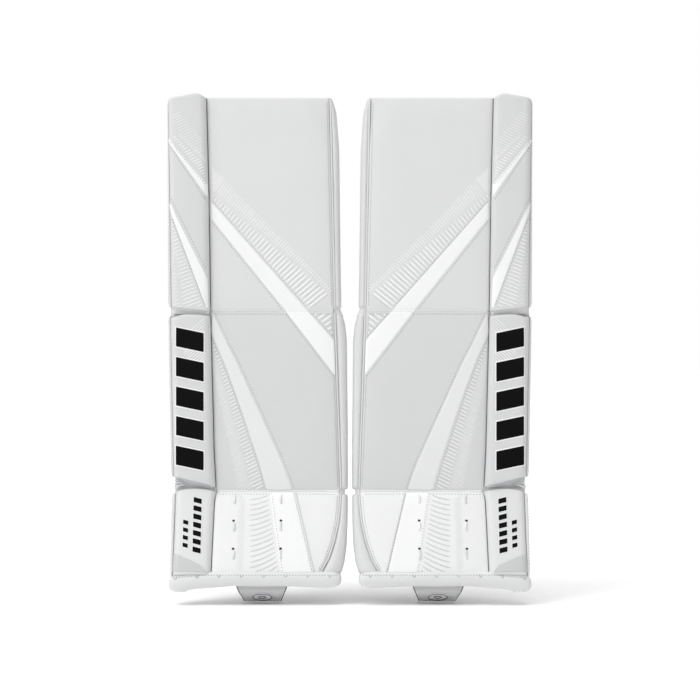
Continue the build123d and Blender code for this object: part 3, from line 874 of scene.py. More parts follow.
for bent in (
    [(272.6, 5), (266, 9), (256, 10)],
    [(273.2, 11), (268, 14), (259, 12.5)],
    [(273.4, 17), (268, 18), (262, 15.5)],
):
    bent = resample(bent, 14)
    thin = 1.5 - 1.1 * np.linspace(0, 1, 14) ** 2
    creases.append(rope(spots(bent[:, 0], np.linspace(-3.4, -4.6, 14), bent[:, 1]), thin))
add("boot_fold_creases", creases, "shin", WHITE_ROLL)
sew("boot_fold_stitches", [dashes(lip[1:-1] + (0, -0.9, 0), (0, -1, 0), 3.4, 0.4)], "shin")


# ---- bands across the faces
def region(inner, seam, low, high, margin=2.5):
    return lambda x, s: inner(s) + margin < x < seam(s) - margin and low < s < high


thigh_face = Surface(THIGH, thigh_shape, region(thigh_inner, thigh_seam, 2.5, THIGH_LENGTH - 6))
shin_face = Surface(SHIN, shin_shape, region(shin_inner, shin_seam, 3.0, SHIN_LENGTH - 3.0))
boot_face = Surface(BOOT, boot_shape, region(boot_inner, boot_seam, -BOOT_LENGTH + 3, -5.0))
thigh_roll_area = region(lambda s: thigh_seam(s) + 1, thigh_roll_edge, 7.0, 320.0, 3.0)
thigh_side = Surface(THIGH, thigh_roll_shape, thigh_roll_area)
shin_roll_area = region(lambda s: shin_seam(s) + 1, shin_roll_edge, 20.0, SHIN_LENGTH - 9, 3.0)
shin_side = Surface(SHIN, shin_roll_shape, shin_roll_area)
boot_side = Surface(BOOT, boot_roll_shape)

# heights where the graphics stop above and below each break
OVER_KNEE, UNDER_KNEE, OVER_BOOT, UNDER_BOOT = 454.5, 453.4, 175, 170.5
# the wide band from the outer roll down across the knee to the inner edge
band_top = THIGH.on((220.0, 628.5), (65.5, OVER_KNEE))
band_low = THIGH.on((219.6, 602.5), (100.6, OVER_KNEE))
band_top_shin = SHIN.on((65.0, UNDER_KNEE), (25.2, 409.0))
band_low_shin = SHIN.on((100.2, UNDER_KNEE), (23.0, 352.6))
# the band that starts at the roll below the knee and widens down to the toe
sweep_out = [(216.6, 419), (206.4, 397), (194.2, 369), (180, 331), (166.8, 293), (154.4, 255), (141.2, 216)]
sweep_out = SHIN.on(*sweep_out, (129.9, OVER_BOOT))
sweep_in = [(214.5, 450), (206.4, 435), (191.3, 403), (175.2, 372.5), (157.2, 333), (136.5, 287.5), (119.5, 250)]
sweep_in = SHIN.on(*sweep_in, (102.5, 212), (89.6, OVER_BOOT))
toe_out = BOOT.on((125.5, UNDER_BOOT), (116.6, 111.4), (108.6, 58.5), (107.2, 50))
toe_in = BOOT.on((87.6, UNDER_BOOT), (72.0, 108), (57.6, 50))
add("thigh_band", panel(thigh_face, band_top, band_low), "thigh", BAND)
add("shin_band", panel(shin_face, band_top_shin, band_low_shin), "shin", BAND)
add("shin_sweep", panel(shin_face, sweep_out, sweep_in), "shin", SWEEP)
add("boot_band", panel(boot_face, toe_out, toe_in), "boot", BAND)
roll_bands = [
    (THIGH.on((281.4, 721.5), (221.6, 650.5)), THIGH.on((281.4, 715.5), (221.2, 631.0))),
    (THIGH.on((280.6, 624), (221.4, 505), (220.6, 459)), THIGH.on((279.6, 611), (223.0, 458.5))),
]
add("thigh_roll_bands", [panel(thigh_side, *edges, lift=0.6) for edges in roll_bands], "thigh", BAND)

# ---- strokes and grooves, in the order that their lengths are drawn; the grooves' grey is painted shade
seam_foot = THIGH.on((216.0, 674), (216.0, 633))
boot_foot = BOOT.on((161, 158), (163, 48))
roll_high, roll_mid = THIGH.on((277, 758), (230, 700)), THIGH.on((279, 722.5), (224, 656.0))
roll_low, roll_top = THIGH.on((278, 607), (224.5, 463)), SHIN.on((224, 447), (224, 352))
surface_of = {"thigh": thigh_face, "shin": shin_face, "boot": boot_face}
surface_of |= {"thigh_roll": thigh_side, "shin_roll": shin_side}
hatching = {}
for name, *values in (
    ("thigh_strokes", band_top, 36, (125, 142), (2, 2), (9, 42), (1.7, 3.0), 0.5, 0.5, 0.04),
    ("thigh_grooves", band_top, 36, (125, 142), (3, 3), (7, 40), (1.1, 2.0), 0.25, 0.98),
    ("thigh_strokes", band_top, 54, (125, 142), (13, 44), (27, 7), (1.2, 1.4), 0.45),
    ("thigh_strokes", seam_foot, 11, (125, 125), (0, 0), (4, 35), (1.2, 1.2), 0.45),
    ("shin_strokes", band_top_shin, 8, (142, 146), (2, 2), (60, 60), (2.9, 2.9)),
    ("shin_grooves", band_top_shin, 8, (142, 146), (3, 3), (60, 60), (1.8, 1.8), 0.25, 0.98),
    ("shin_strokes", sweep_out, 46, (-30, -26), (2, 2), (5, 25), (1.5, 1.7)),
    ("shin_strokes", sweep_out, 84, (-30, -26), (6, 25), (12, 24), (0.9, 1.0), 0.35),
    ("shin_grooves", sweep_out, 46, (-30, -26), (2, 2), (6, 22), (2.0, 2.6), 0.3, 0.98),
    ("boot_grooves", toe_out, 17, (-15, -26), (1.5, 1.5), (32, 52), (3.2, 3.6), 0.35, 0.5, 0.02, -0.05),
    ("boot_grooves", boot_foot, 34, (42, 42), (0, 0), (18, 18), (1.0, 1.0), 0.25),
    ("thigh_roll_strokes", roll_mid, 18, (155, 155), (2, 2), (8, 17), (1.5, 1.7)),
    ("thigh_roll_strokes", roll_mid, 27, (155, 155), (11, 20), (7, 9), (1.0, 1.1), 0.45, 0.9),
    ("thigh_roll_strokes", roll_high, 17, (155, 155), (-8, -8), (22, 26), (0.8, 0.8), 0.35),
    ("thigh_roll_strokes", roll_low, 27, (-22, -20), (2, 2), (3, 34), (1.4, 1.7)),
    ("thigh_roll_strokes", roll_low, 27, (-22, -20), (6, 38), (8, 12), (0.8, 0.8), 0.35, 0.9),
    ("shin_roll_strokes", roll_top, 19, (-42, -42), (0, 0), (62, 9), (1.2, 1.2), 0.4),
    ("shin_roll_grooves", roll_top, 19, (-42, -42), (1, 1), (56, 7), (1.4, 1.4), 0.25, 0.98),
):
    hatching.setdefault(name, []).append(hatch(surface_of[name.rsplit("_", 1)[0]], *values))
for name, rows in hatching.items():
    film = FAINT if name == "boot_grooves" else SHADE if name.endswith("grooves") else STROKE
    add(name, rows, name.split("_")[0], film)


# ---- black slanted bars in place of any mark
def bar(surface, x_out, x_in, top, tall, slant, grow=0.0, lift=0.9):
    """A slanted bar on a roll: x_out to x_in across, tall high, falling by slant towards the inner side."""
    upper = [(x_out + grow, top + grow), (x_in - grow, top - slant + grow)]
    lower = [(x, z - tall - 2 * grow) for x, z in upper]
    return panel(surface, surface.section.on(*upper), surface.section.on(*lower), lift, (6, 12))


big = [(270.5, 227.5, 429 - 46 * i, 31, 9) for i in range(5)]
small = [(243.0, 230.5, 162 - 12.4 * i, 8.2, 3.0) for i in range(7)]
small += [(258.5, 250.5, 128 - 11.5 * i, 6.6, 2.2) for i in range(4)]
for name, surface, bars, wide in (("shin", shin_side, big, 1.6), ("boot", boot_side, small, 0.6)):
    add(f"{name}_mark_edge", [bar(surface, *b, grow=wide, lift=0.5) for b in bars], name, BAND)
    add(f"{name}_mark", [bar(surface, *b) for b in bars], name, MARK)
patch_top, patch_low = ((275.0, 80), (229, 59.5), (222, 51)), ((274.5, 49.5), (245, 49.0), (220.5, 48.8))
add("boot_roll_patch", panel(boot_side, BOOT.on(*patch_top), BOOT.on(*patch_low), 0.9), "boot", PATCH)
toe_welt = [(x - 2.0, s) for x, s in toe_in]
add("boot_welt", rope(boot_face.lay(resample(toe_welt, 30), 0.5), 1.5, 10), "boot", WHITE)

# ---- stitched seams
SEWN_IN, SEWN_OUT = -2.4, 2.8  # how far beside a band's upper and lower edges its stitches run
for body, surface, crossing, lines in (
    (
        "thigh",
        thigh_face,
        [beside(band_top, SEWN_IN), beside(band_low, SEWN_OUT)],
        [[(thigh_inner(8) + 4.0, 8), (thigh_inner(THIGH_LENGTH) + 4.2, THIGH_LENGTH - 10)]],
    ),
    (
        "shin",
        shin_face,
        [beside(band_top_shin, SEWN_IN), beside(band_low_shin, SEWN_OUT)],
        [
            beside(sweep_out, 2.4),
            beside(sweep_in, -2.8),
            [(211.5, SHIN_LENGTH - 5.0), (30, SHIN_LENGTH - 5.0)],
            [(shin_inner(4) + 4.0, 6), (shin_inner(SHIN_LENGTH) + 4.0, SHIN_LENGTH - 8)],
        ],
    ),
    (
        "boot",
        boot_face,
        [[(205, -5.2), (22, -5.2)], beside(toe_welt, 2.6)],
        [[(boot_inner(s) + 4.2, s) for s in np.linspace(-8, -BOOT_LENGTH + 8, 24)]],
    ),
):
    crossing = [within(line, surface.area) for line in crossing]
    sew(f"{body}_stitches", [stitches(surface, line) for line in crossing + lines if line is not None], body)
sew("boot_band_stitches", [stitches(boot_face, beside(toe_out, -3.2), lift=1.3)], "boot")
roll_lines = [
    (THIGH.on((279, 716.6), (224, 650.0)), 1.1),
    (THIGH.on((278.5, 708.5), (224, 627.0)), 0.45),
    (THIGH.on((277, 598), (226, 463)), 0.45),
    (THIGH.on((278, 629), (224, 520)), 0.45),
]
sew("thigh_roll_stitches", [stitches(thigh_side, line, lift=lift) for line, lift in roll_lines], "thigh")

# ---- boot laces
LACE_ROWS, LACE_COLUMNS = (-14.0, -58.0, -103.0), ((107.0, 1, 0.8), (180.5, -1, 0.0))  # x, drift's way, lift
cords, holes = [], []
t = np.linspace(0, 1, 11)
for row in LACE_ROWS:
    for column, way, raised in LACE_COLUMNS:
        line = np.stack([column + 1.2 * np.sin(pi * t) * way, row + 7.5 - 15 * t], -1)
        cords.append(rope(boot_face.lay(line, 1.5 - 3.4 * np.abs(2 * t - 1) ** 5 + raised), 1.7, 10))
        if row != LACE_ROWS[0]:
            # painted shadow: a black disc over each lower lace hole stands in for the shade inside it
            rim = [(column + 2.1 * cos(w) + 0.2, row + 9.4 + 1.8 * sin(w)) for w in circle(14)]
            rim = boot_face.lay(rim, 0.3 + raised)
            holes.append(tube(np.array([rim + (0, 1.2, 0), rim])))
add("boot_laces", cords, "boot", LACE, replaces="boot_laces")
add("boot_lace_holes", holes, "boot", HOLE_SHADOW, cuts=0)

# ---- toe binding, in the shin's coordinates
BINDING_DEPTH, TUFT_PITCH = 46.0, 34.0
BINDING_IN, BINDING_OUT = 13.6, 279.6
binding_front = cad_box[0][1] / MM - SHIN.y
binding_bottom = edge_line([(28.0, 13), (26.0, 36), (28.6, 80), (29.2, 180), (25.0, 236), (20.4, 258), (18.4, 283)])


def binding_top(x):
    """The height of the binding's seam, which dips under the outer roll."""
    return BINDING_TOP - BOOT_Z - 4.2 * smooth((x - 214) / 62.0)


def place_binding(a, b):
    x = lerp(BINDING_IN, BINDING_OUT, a)
    low = binding_bottom(x) - BOOT_Z + 0.5 * wave(x, 0 * x, 60, 5.0) - 1.8 * dip(x - 254.6, 2.6)
    return x, lerp(low, binding_top(x) + 3.4 + 0.4 * wave(x, 0 * x, 34, 2.0), b)


def binding_face(a, b):
    x = lerp(BINDING_IN, BINDING_OUT, a)
    tuft = dip((x - 14) % TUFT_PITCH - TUFT_PITCH / 2, 4) * dip(b - 0.9, 0.1)
    return binding_front + 1.0 - 1.0 * np.sin(pi * b) + 1.4 * tuft + 0.6 * wave(x, b * 25, 55, 1.0)


binding_shape = slab(
    place_binding, (270, 25.5), binding_face, binding_front + BINDING_DEPTH, (15, 10.5), 7, (90, 5), 5, 0.4, turn=1.0
)
add("boot_binding", binding_shape, "boot", WHITE_BINDING, SHIN, "boot_binding")
binding_surface = Surface(SHIN, binding_shape)
line = [(x, binding_top(x) - 0.6) for x in np.linspace(BINDING_IN + 5, BINDING_OUT - 6, 60)]
sew("binding_stitches", [stitches(binding_surface, line, pitch=4.4)], "boot", SHIN)
tufts = []
for x in np.arange(31, 275, TUFT_PITCH):
    for dx, tilt in ((-1.4, 1.2), (1.4, -1.2)):
        top, foot = (x + dx - tilt, binding_top(x) - 0.4), (x + dx + tilt, binding_top(x) - 4.4)
        tufts.append(ribbon(binding_surface, [top, foot], 1.3, 0.7, step=2.0))
add("binding_tufts", tufts, "boot", THREAD_WITH_PAINTED_SHADE, SHIN)

# ---- toe tab and its eyelet
TAB_SWEEP, ROOT_SWEEP = radians(65), radians(38)
TAB_LENGTH, TAB_ROOT, TAB_MIDDLE = 44.4, 12.5, 136.0
TAB_DROP = TAB_LENGTH * cos(TAB_SWEEP)
tab_hinge = np.array(joints["left_toe_flex"]["pos_m"]) / MM
tab_down = np.array((0, sin(TAB_SWEEP), -cos(TAB_SWEEP)))
tab_root = np.array((0, sin(ROOT_SWEEP), -cos(ROOT_SWEEP)))
tab_out = np.array((0, -cos(TAB_SWEEP), -sin(TAB_SWEEP)))


def on_tab(points):
    """World points from (x from the tab's middle, depth behind its face, distance below its hinge)."""
    p = np.asarray(points, float)
    below, above = np.maximum(p[..., 2:3], 0), np.minimum(p[..., 2:3], 0)
    flat = np.array((TAB_MIDDLE, tab_hinge[1], tab_hinge[2])) + below * tab_down + above * tab_root
    flat = flat - p[..., 1:2] * tab_out
    flat[..., 0] += p[..., 0]
    return flat


def tab_half(t):
    """Half its width, which narrows evenly with the height, as seen from the front."""
    below = np.where(np.asarray(t) < 0, t * cos(ROOT_SWEEP), t * cos(TAB_SWEEP))
    return lerp(27.4, 38.3, np.clip((TAB_DROP - below) / (TAB_DROP + 8.8), 0, 1))


def place_tab(a, b):
    t = lerp(-TAB_ROOT, TAB_LENGTH, b)
    return tab_half(t) * (2 * a - 1), t


def tab_front(a, b):
    return -1.1 + 0.25 * wave(*place_tab(a, b), 50, 1.0)


points, faces = slab(place_tab, (70, 57), tab_front, 1.2, 2.2, 0.9, (20, 16), walls=1, turn=0.8)
tab_bend = over("toe", tab_hinge[2] + 1.5, tab_hinge[2] - 1.5, tab_hinge[1])
add("toe_tab", (on_tab(points), faces), "boot", TOE, None, "toe_bridge", crosses=tab_bend)
t = np.linspace(-TAB_ROOT + 1, TAB_LENGTH - 0.5, 24)
rims = [rope(on_tab(spots(side * (tab_half(t) + 0.2), 0.1, t)), 1.25) for side in (-1, 1)]
add("toe_tab_rim", rims, "boot", TOE_EDGE, None, crosses=tab_bend)
t = np.linspace(1.5, TAB_LENGTH - 3.5, 20)
tab_seams = [on_tab(spots(side * (tab_half(t) - 3.6), -1.2, t)) for side in (-1, 1)]
tab_seams.append(on_tab([(-24.5, -1.2, TAB_LENGTH - 3.0), (24.5, -1.2, TAB_LENGTH - 3.0)]))
add("toe_tab_stitches", [dashes(line, tab_out, radius=0.4) for line in tab_seams], "toe", THREAD_WITH_PAINTED_SHADE, None)

EYELET_DROP, EYELET_RIBS = 18.0, 28
ribs, rings = [], []
for w in circle(EYELET_RIBS):
    rib = [(r * cos(w), -2.55 - h, EYELET_DROP + r * sin(w)) for r, h in ((7.2, 0), (8, 0.35), (12, 0.35), (12.8, 0))]
    ribs.append(rope(on_tab(rib), 0.45, 6))
w, v = circle(40)[:, None], circle(8)[None, :]
for radius, thick in ((14.6, 0.8), (5.2, 0.8)):
    r = radius + thick * np.cos(v)
    ring = spots(r * np.cos(w), -2.75 + thick * np.sin(v) + 0 * w, EYELET_DROP + r * np.sin(w))
    rings.append(tube(on_tab(ring), joined=True))
add("toe_eyelet_ribs", ribs, "toe", BADGE, None)
add("toe_eyelet_rings", rings, "toe", CLIP, None)


# ---- pads and straps on the back
def quilt(x, s, pitch, depth, wide=2.6):
    """Sewn channels that cross in diamonds."""
    lines = 0
    for sign in (-1, 1):
        u = (s + sign * x) / sqrt(2)
        lines = np.maximum(lines, dip((u + pitch / 2) % pitch - pitch / 2, wide))
    return depth * lines


def channels(s, at, depth, wide):
    """Sewn channels straight across a pad, at distances along it."""
    return sum(depth * dip(s - v, wide) for v in at)


def flat_pad(x0, x1, s0, s1, d0, d1, r, drop, n, back=None, bulge=0.0, front_drop=0.8):
    """A rectangular pad on the back of a section; back(x, s) lowers its outer face."""
    place = between(lambda s: x0, lambda s: x1, s0, s1)

    def outer(a, b):
        x, s = place(a, b)
        return d1 - (back(x, s) if back else 0.0) + 0.25 * wave(x, s, 60, 2.0)

    size = (x1 - x0, s1 - s0)
    return slab(place, size, d0, outer, r, front_drop, n, back_drop=drop, bulge=bulge, turn=1.0)


def wall_pad(path, low, high, thick, r, drop, n, channel):
    """A padded wall that stands on a section's back along a path, with sewn channels along it."""
    place = between(lambda s: 0.0, lambda s: path.length, low, high)

    def skin(sign):
        def depth(a, b):
            x, s = place(a, b)
            return sign * (thick / 2 - channels(s, channel, 1.3, 2.6)) + 0.2 * wave(x, s, 40, 1.0 + sign)

        return depth

    points, faces = slab(place, (path.length, high - low), skin(-1), skin(1), r, drop, n, walls=2, turn=1.0)
    return path.place(points), faces


def lined_wall(side, name, node, body, path, wall, sewn, lining, seam):
    """A padded wall of the leg's cradle, the cloth lining inside it and the stitches on its outside.

    wall is wall_pad's values. lining is (start, stop, low, high), its size, the quilting's run and pitch, and n.
    seam is (off, stop, low, high, counts, the way out of the leather at the free edge).
    """
    inside = 1 if side == "inner" else -1
    shape = puff(wall_pad(path, *wall), sewn, cap=1.2)
    add(f"{side}_{node}", shape, body, WHITE_CRADLE, replaces=f"{side}_{node}")
    (start, stop, low, high), size, run, pitch, n = lining
    place = between(lambda s: start, lambda s: path.length - stop, low, high)

    def back(a, b):
        return 7.2 - quilt(a * run, b * size[1], pitch, 0.9, 2.0)

    points, faces = slab(place, size, 4.6, back, 6, 0.5, n, walls=1, back_drop=1.2, turn=1.0)
    points = path.place(points * np.array((1, inside, 1)))
    add(f"{side}_{name}_lining", (points, faces), body, MESH)
    off, stop, low, high, counts, (way_x, way_d) = seam
    t, s = np.linspace(6, path.length - stop, counts[0]), np.linspace(low, high, counts[1])
    seams = [dashes(path.place(spots(t, -inside * off, v)), (-inside, 0, 0)) for v in (low, high)]
    tip = path.place(spots(path.length - 6, -inside * off, s))
    sew(f"{side}_{name}_stitches", [*seams, dashes(tip, (-inside * way_x, way_d, 0))], body)


def arc_path(start, knee, tip, centre):
    """Straight from start to knee, then round to tip."""
    (a0, r0), (a1, r1) = (
        (atan2(d - centre[1], x - centre[0]), hypot(x - centre[0], d - centre[1])) for x, d in (knee, tip)
    )
    bend = [(lerp(r0, r1, f), lerp(a0, a1, f)) for f in np.linspace(0, 1, 20)]
    return [start] + [(centre[0] + r * cos(a), centre[1] + r * sin(a)) for r, a in bend]


def strap(x0, x1, middle, d, width, sag):
    """Webbing across the back, from its sewn end at x0 to its free end at x1."""
    t = np.linspace(0, 1, 24)
    line = spots(lerp(x0, x1, t), d + sag * np.sin(pi * t), middle)
    return line, strip(line, width, 2.6, 0.3)


def box_stitch(x0, x1, middle, width, d):
    """A sewn square with its cross, on the back of a strap."""
    a, b = middle - width / 2 + 4, middle + width / 2 - 4
    square = [(x0, d, a), (x1, d, a), (x1, d, b), (x0, d, b), (x0, d, a)]
    lines = [square, [square[0], square[2]], [square[1], square[3]]]
    return merge([dashes(line, (0, 1, 0), 3.6, 0.45) for line in lines])


def edge_seams(line, width):
    """Stitches along both edges of a strap."""
    return merge([dashes(line + np.array((0, 1.4, side * (width / 2 - 3.0))), (0, 1, 0)) for side in (-1, 1)])


def clip(x0, x1, middle, d):
    """A moulded clip: a waisted body with grip ribs and a bar for its strap."""
    tall = 39.6

    def place(a, b):
        return lerp(x0, x1, a), middle + (2 * b - 1) * tall / 2 * (1 - 0.2 * dip(a - 0.42, 0.2))

    def skin(sign):
        def depth(a, b):
            grip = 0.7 * np.clip(np.sin(a * 24.0), 0, 1) * smooth((0.8 - a) / 0.2) * smooth(a / 0.15)
            return d + sign * (2.2 + grip)

        return depth

    body = slab(place, (x1 - x0, tall), skin(-1), skin(1), 3.0, 1.3, (34, 16), walls=1, turn=1.0)
    bar_line = spots(x1 - 2.2, d + 2.6, middle + np.linspace(-tall / 2 + 4, tall / 2 - 4, 10))
    return merge([body, rope(bar_line, 1.3, 10)])


def clipped_strap(name, x, middle, d, width, boxes, clip_x, anchor, keeper, keeper_width, bodies):
    """A strap that is sewn to one wall and clips to a bar in a webbing loop, the keeper, on the other.

    boxes are its sewn squares, from x to x, keeper is its loop's line and bodies are what the walls ride on.
    """
    body, (anchor_body, keeper_body) = f"{name}_strap", bodies
    line, webbing = strap(*x, middle, d, width, 1.4)
    add(body, webbing, body, WEB, replaces=body)
    crosses = [box_stitch(*box, middle, width, d + lift) for box, lift in zip(boxes, (2.1, 2.3))]
    sew(f"{body}_stitches", [edge_seams(line[3:-3], width), *crosses], body)
    add(f"{name}_clip", clip(*clip_x, middle, d), body, CLIP, replaces=f"{name}_clip")
    add(f"{body}_anchor", anchor, anchor_body, WHITE_SIDE)
    path = resample(keeper, 16)
    loop = strip(spots(path[:, 0], path[:, 1], middle), keeper_width, 1.8, 0.35)
    add(f"{name}_keeper", loop, keeper_body, WEB)
    half = keeper_width / 2 + 3
    bar_line = spots(*path[-1], middle + np.linspace(-half, half, 12))
    add(f"{name}_keeper_bar", rope(bar_line, 1.7, 10), keeper_body, METAL)


def back_stitches(body, shape, x0, x1, s0, s1):
    """A frame of stitches on the back of a section."""
    corners = [(x0, s0), (x1, s0), (x1, s1), (x0, s1), (x0, s0)]
    surface = Surface(OWN_SECTION[body], shape, behind=True)
    sew(f"{body}_back_stitches", [stitches(surface, corners, pitch=5.2)], body)


# ---- back of the thigh: liner and knee cradle
CRADLE_LOW, CRADLE_HIGH = 18.4, 149.6
KNEE_STRAP_S, KNEE_STRAP_WIDTH = 84, 38
liner = flat_pad(38.5, 211, 12, 313, 48.2, 53.4, 9, 3.2, (46, 78), lambda x, s: quilt(x, s, 40, 2.2), 0.2)
add("thigh_liner", liner, "thigh", MESH, replaces="thigh_liner")
back_stitches("thigh", thigh_shape, 34.5, 214.5, 8.5, 317)
rows = (50, 84, 118)
size = (22.4, 71.6, CRADLE_LOW, CRADLE_HIGH, 53.2, 105.5)
block = flat_pad(*size, 11, 8.0, (14, 40), lambda x, s: channels(s, rows, 3.0, 4.0), 1.2, front_drop=3.0)
add("knee_block", puff(block, 58, 3.0), "thigh", WHITE_CRADLE, replaces="knee_block")
wing_path = Path([(202, 53.4), (202, 104.8)])
wing = wall_pad(wing_path, CRADLE_LOW, CRADLE_HIGH, 11.6, (6, 12), 4.0, (20, 36), (62, 106))
add("knee_wing", puff(wing, 58, 1.2), "thigh", WHITE_CRADLE, replaces="knee_wing")
line, webbing = strap(203.8, 30.4, KNEE_STRAP_S, 108.0, KNEE_STRAP_WIDTH, 1.6)
add("knee_strap", webbing, "knee_strap", WEB, replaces="knee_strap")
box = box_stitch(184, 200, KNEE_STRAP_S, KNEE_STRAP_WIDTH, 110.2)
sew("knee_strap_stitches", [edge_seams(line[3:-1], KNEE_STRAP_WIDTH), box], "knee_strap")
pull = flat_pad(30.0, 44.0, 67.5, 100.5, 109.4, 112.4, 4, 1.2, (8, 14))
add("knee_strap_pull", pull, "knee_strap", WHITE_CRADLE)
anchor = flat_pad(192.5, 210.5, 60, 108, 103.4, 106.2, 3, 1.0, (8, 18))
add("knee_strap_anchor", anchor, "thigh", WHITE_SIDE)
tape = flat_pad(27, 67, 66, 102, 104.2, 106.1, 3, 0.6, (12, 12))
add("knee_block_tape", tape, "thigh", LOOP)

# ---- back of the shin: stiffener, liner, calf flaps
for side in ("left", "right"):
    for node, material in ((f"{side}_shin_stiffener", SHEET), (f"{side}_toe_eyelet", BADGE)):
        skin = frame["nodes"][node].data.materials
        skin.clear()
        skin.append(material)
dome = [(0.4, 2.0), (2.2, 1.7), (3.6, 0.9), (4.2, 0.1), (4.2, -0.6), (0.4, -0.6)]
w = circle(20)
rivets = []
for x in (55.0, 194.0):
    for s in (28.0, 84.0, 140.0, 196.0, 252.0):
        rivets.append(tube(np.array([spots(x + r * np.cos(w), 51.2 + h, s + r * np.sin(w)) for r, h in dome])))
add("shin_rivets", rivets, "shin", METAL)
rows = (68, 110, 154, 197)
leg = flat_pad(72.4, 187.6, 25, 239, 51.4, 65.0, 16, 9.0, (26, 54), lambda x, s: channels(s, rows, 3.6, 4.5), 0.6)
add("leg_liner", puff(leg, 54, 2.5), "shin", MESH, replaces="leg_liner")
back_stitches("shin", shin_shape, 38, 206, 9, 271)
FLAP_LOW, FLAP_HIGH = 32.4, 226.6
for side, path in (
    ("inner", Path(arc_path((52, 52.5), (52, 84), (68, 107), (76, 84)))),
    ("outer", Path(arc_path((205, 52.5), (205, 82), (186, 110), (178, 82)))),
):
    wall = (FLAP_LOW, FLAP_HIGH, 11.4, (6, 16), 4.2, (26, 46), (80, 129.5, 179))
    lining = ((7.0, 9.0, FLAP_LOW + 12, FLAP_HIGH - 12), (40, 170), path.length, 26, (20, 50))
    seam = (5.9, 5, FLAP_LOW + 9, FLAP_HIGH - 9, (24, 30), (0.6, 0.8))
    lined_wall(side, "flap", "calf_flap", f"{side}_flap", path, wall, 56, lining, seam)
anchor = flat_pad(178, 196, 103, 151, 112.6, 116.6, 3, 1.2, (8, 18))
keeper = [(45.4, 72), (45.2, 88), (46.5, 99), (51, 108), (52, 112.6)]
boxes = ((170, 184), (60, 72))
bodies = ("outer_flap", "inner_flap")
calf = {"x": (186.8, 56.0), "middle": 127, "d": 118.5, "width": 38, "boxes": boxes, "clip_x": (33.7, 57.3)}
clipped_strap("calf", **calf, anchor=anchor, keeper=keeper, keeper_width=30, bodies=bodies)

# ---- back of the boot: wings, strap, liner
for side, x in (("inner", 40), ("outer", 192)):
    wall = (-104.2, -7.8, 11.6, (6, 14), 4.4, (20, 30), (-38, -74))
    lining = ((6.0, 8.0, -96, -16), (41, 80), 41, 22, (20, 34))
    seam = (6.0, 6, -97, -15, (20, 24), (1, 0))
    lined_wall(side, "wing", "boot_wing", "boot", Path([(x, 39.4), (x, 94.6)]), wall, 44, lining, seam)
anchor = flat_pad(183, 200, -80, -40, 93.4, 96.2, 3, 1.0, (8, 18))
keeper = [(33.4, 62), (33.2, 80), (34.4, 87), (38, 92)]
boxes = ((178, 192), (54, 66))
boot = {"x": (195.8, 50.0), "middle": -60, "d": 98.0, "width": 30, "boxes": boxes, "clip_x": (27.7, 51.3)}
clipped_strap("boot", **boot, anchor=anchor, keeper=keeper, keeper_width=26, bodies=("boot", "boot"))
liner = flat_pad(58, 174, -106, -16, 38.7, 44.0, 12, 3.4, (30, 26), lambda x, s: quilt(x, s, 30, 1.8, 2.2), 0.3)
add("boot_liner", liner, "boot", MESH)
back_stitches("boot", boot_shape, 52, 180, -118, -8)

# ---- stitches down the outer sides
for body, low, high, outside, depth in (
    ("thigh", 10, 322, thigh_side_edge, 40.0),
    ("shin", 28, SHIN_LENGTH - 14, shin_side_edge, 40.0),
    ("boot", -118, -8, boot_side_edge, 32.0),
):
    s = np.linspace(low, high, 30)
    seams = [dashes(spots(outside(s) - 0.05, v, s), (1, 0, 0)) for v in (5.0, depth)]
    sew(f"{body}_side_stitches", seams, body)

# ---- camera, light, floor
VIEW_WIDTH, CAMERA_DISTANCE, CAMERA_Z, SENSOR = 1.092, 3.6, 0.393, 36.0


def aim(piece, target):
    direction = Vector(target) - piece.location
    piece.rotation_euler = direction.to_track_quat("-Z", "Y").to_euler()


def light(name, kind, place, target, power, **settings):
    lamp = bpy.data.lights.new(name, kind)
    lamp.energy = power
    for setting, value in settings.items():
        setattr(lamp, setting, value)
    piece = new_object(name, lamp)
    piece.location = place
    aim(piece, target)


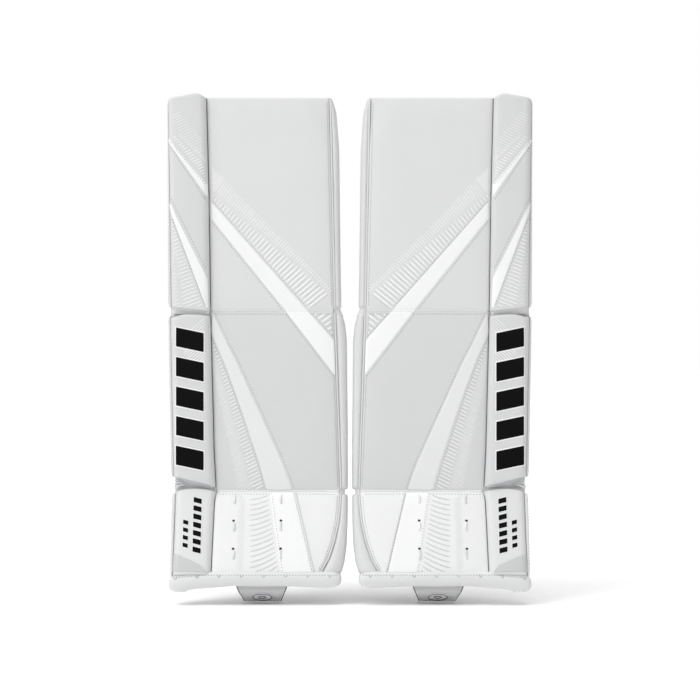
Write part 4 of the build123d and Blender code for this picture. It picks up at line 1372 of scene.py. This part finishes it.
camera_data = bpy.data.cameras.new("camera")
camera = new_object("camera", camera_data)
camera.location = (0, THIGH.y * MM - CAMERA_DISTANCE, CAMERA_Z)
camera_data.sensor_width = SENSOR
camera_data.lens = SENSOR * CAMERA_DISTANCE / VIEW_WIDTH
aim(camera, (0, THIGH.y * MM, CAMERA_Z))
bpy.context.scene.camera = camera
light("key", "AREA", (-4.0, -3.4, 4.9), (0, 0, 0.45), 182.0, shape="DISK", size=4.6)
light("overhead", "SUN", (-0.2, -0.4, 2.0), (0, 0, 0), 1.6, angle=radians(60.0))
light("back", "SUN", (0.4, 2.0, 1.5), (0, 0, 0), 0.7, angle=radians(50.0))

# the surroundings light the pads less than the white backdrop that the camera sees
world = bpy.data.worlds.new("studio")
world.use_nodes = True
sky = world.node_tree
soft_box = sky.nodes["Background"]
feed(sky, soft_box.inputs["Color"], (1.0, 1.0, 1.0, 1))
feed(sky, soft_box.inputs["Strength"], 0.4)
backdrop = link(sky, "ShaderNodeBackground", Color=(1.0, 1.0, 1.0, 1))
chooser = sky.nodes.new("ShaderNodeMixShader")
seen = link(sky, "ShaderNodeLightPath").outputs["Is Camera Ray"]
for socket, value in zip(chooser.inputs, (seen, soft_box.outputs[0], backdrop.outputs[0])):
    feed(sky, socket, value)
feed(sky, sky.nodes["World Output"].inputs["Surface"], chooser.outputs[0])
bpy.context.scene.world = world
bpy.context.scene.view_settings.view_transform = "Standard"

FLOOR_HALF, FLOOR_DROP = 40.0, 0.0008
corners = [(x * FLOOR_HALF, y * FLOOR_HALF, 0) for x, y in ((-1, -1), (1, -1), (1, 1), (-1, 1))]
floor_mesh = new_mesh("floor", corners, [(0, 1, 2, 3)])
floor_material = plastic("floor_paint", (0.985, 0.985, 0.985), rough=0.8, bump=0.0, scale=40.0)
floor_material.node_tree.nodes["Principled BSDF"].inputs["Specular IOR Level"].default_value = 0.0
floor_mesh.materials.append(floor_material)
floor = new_object("floor", floor_mesh)
floor.location.z = cad_box[0][2] - FLOOR_DROP
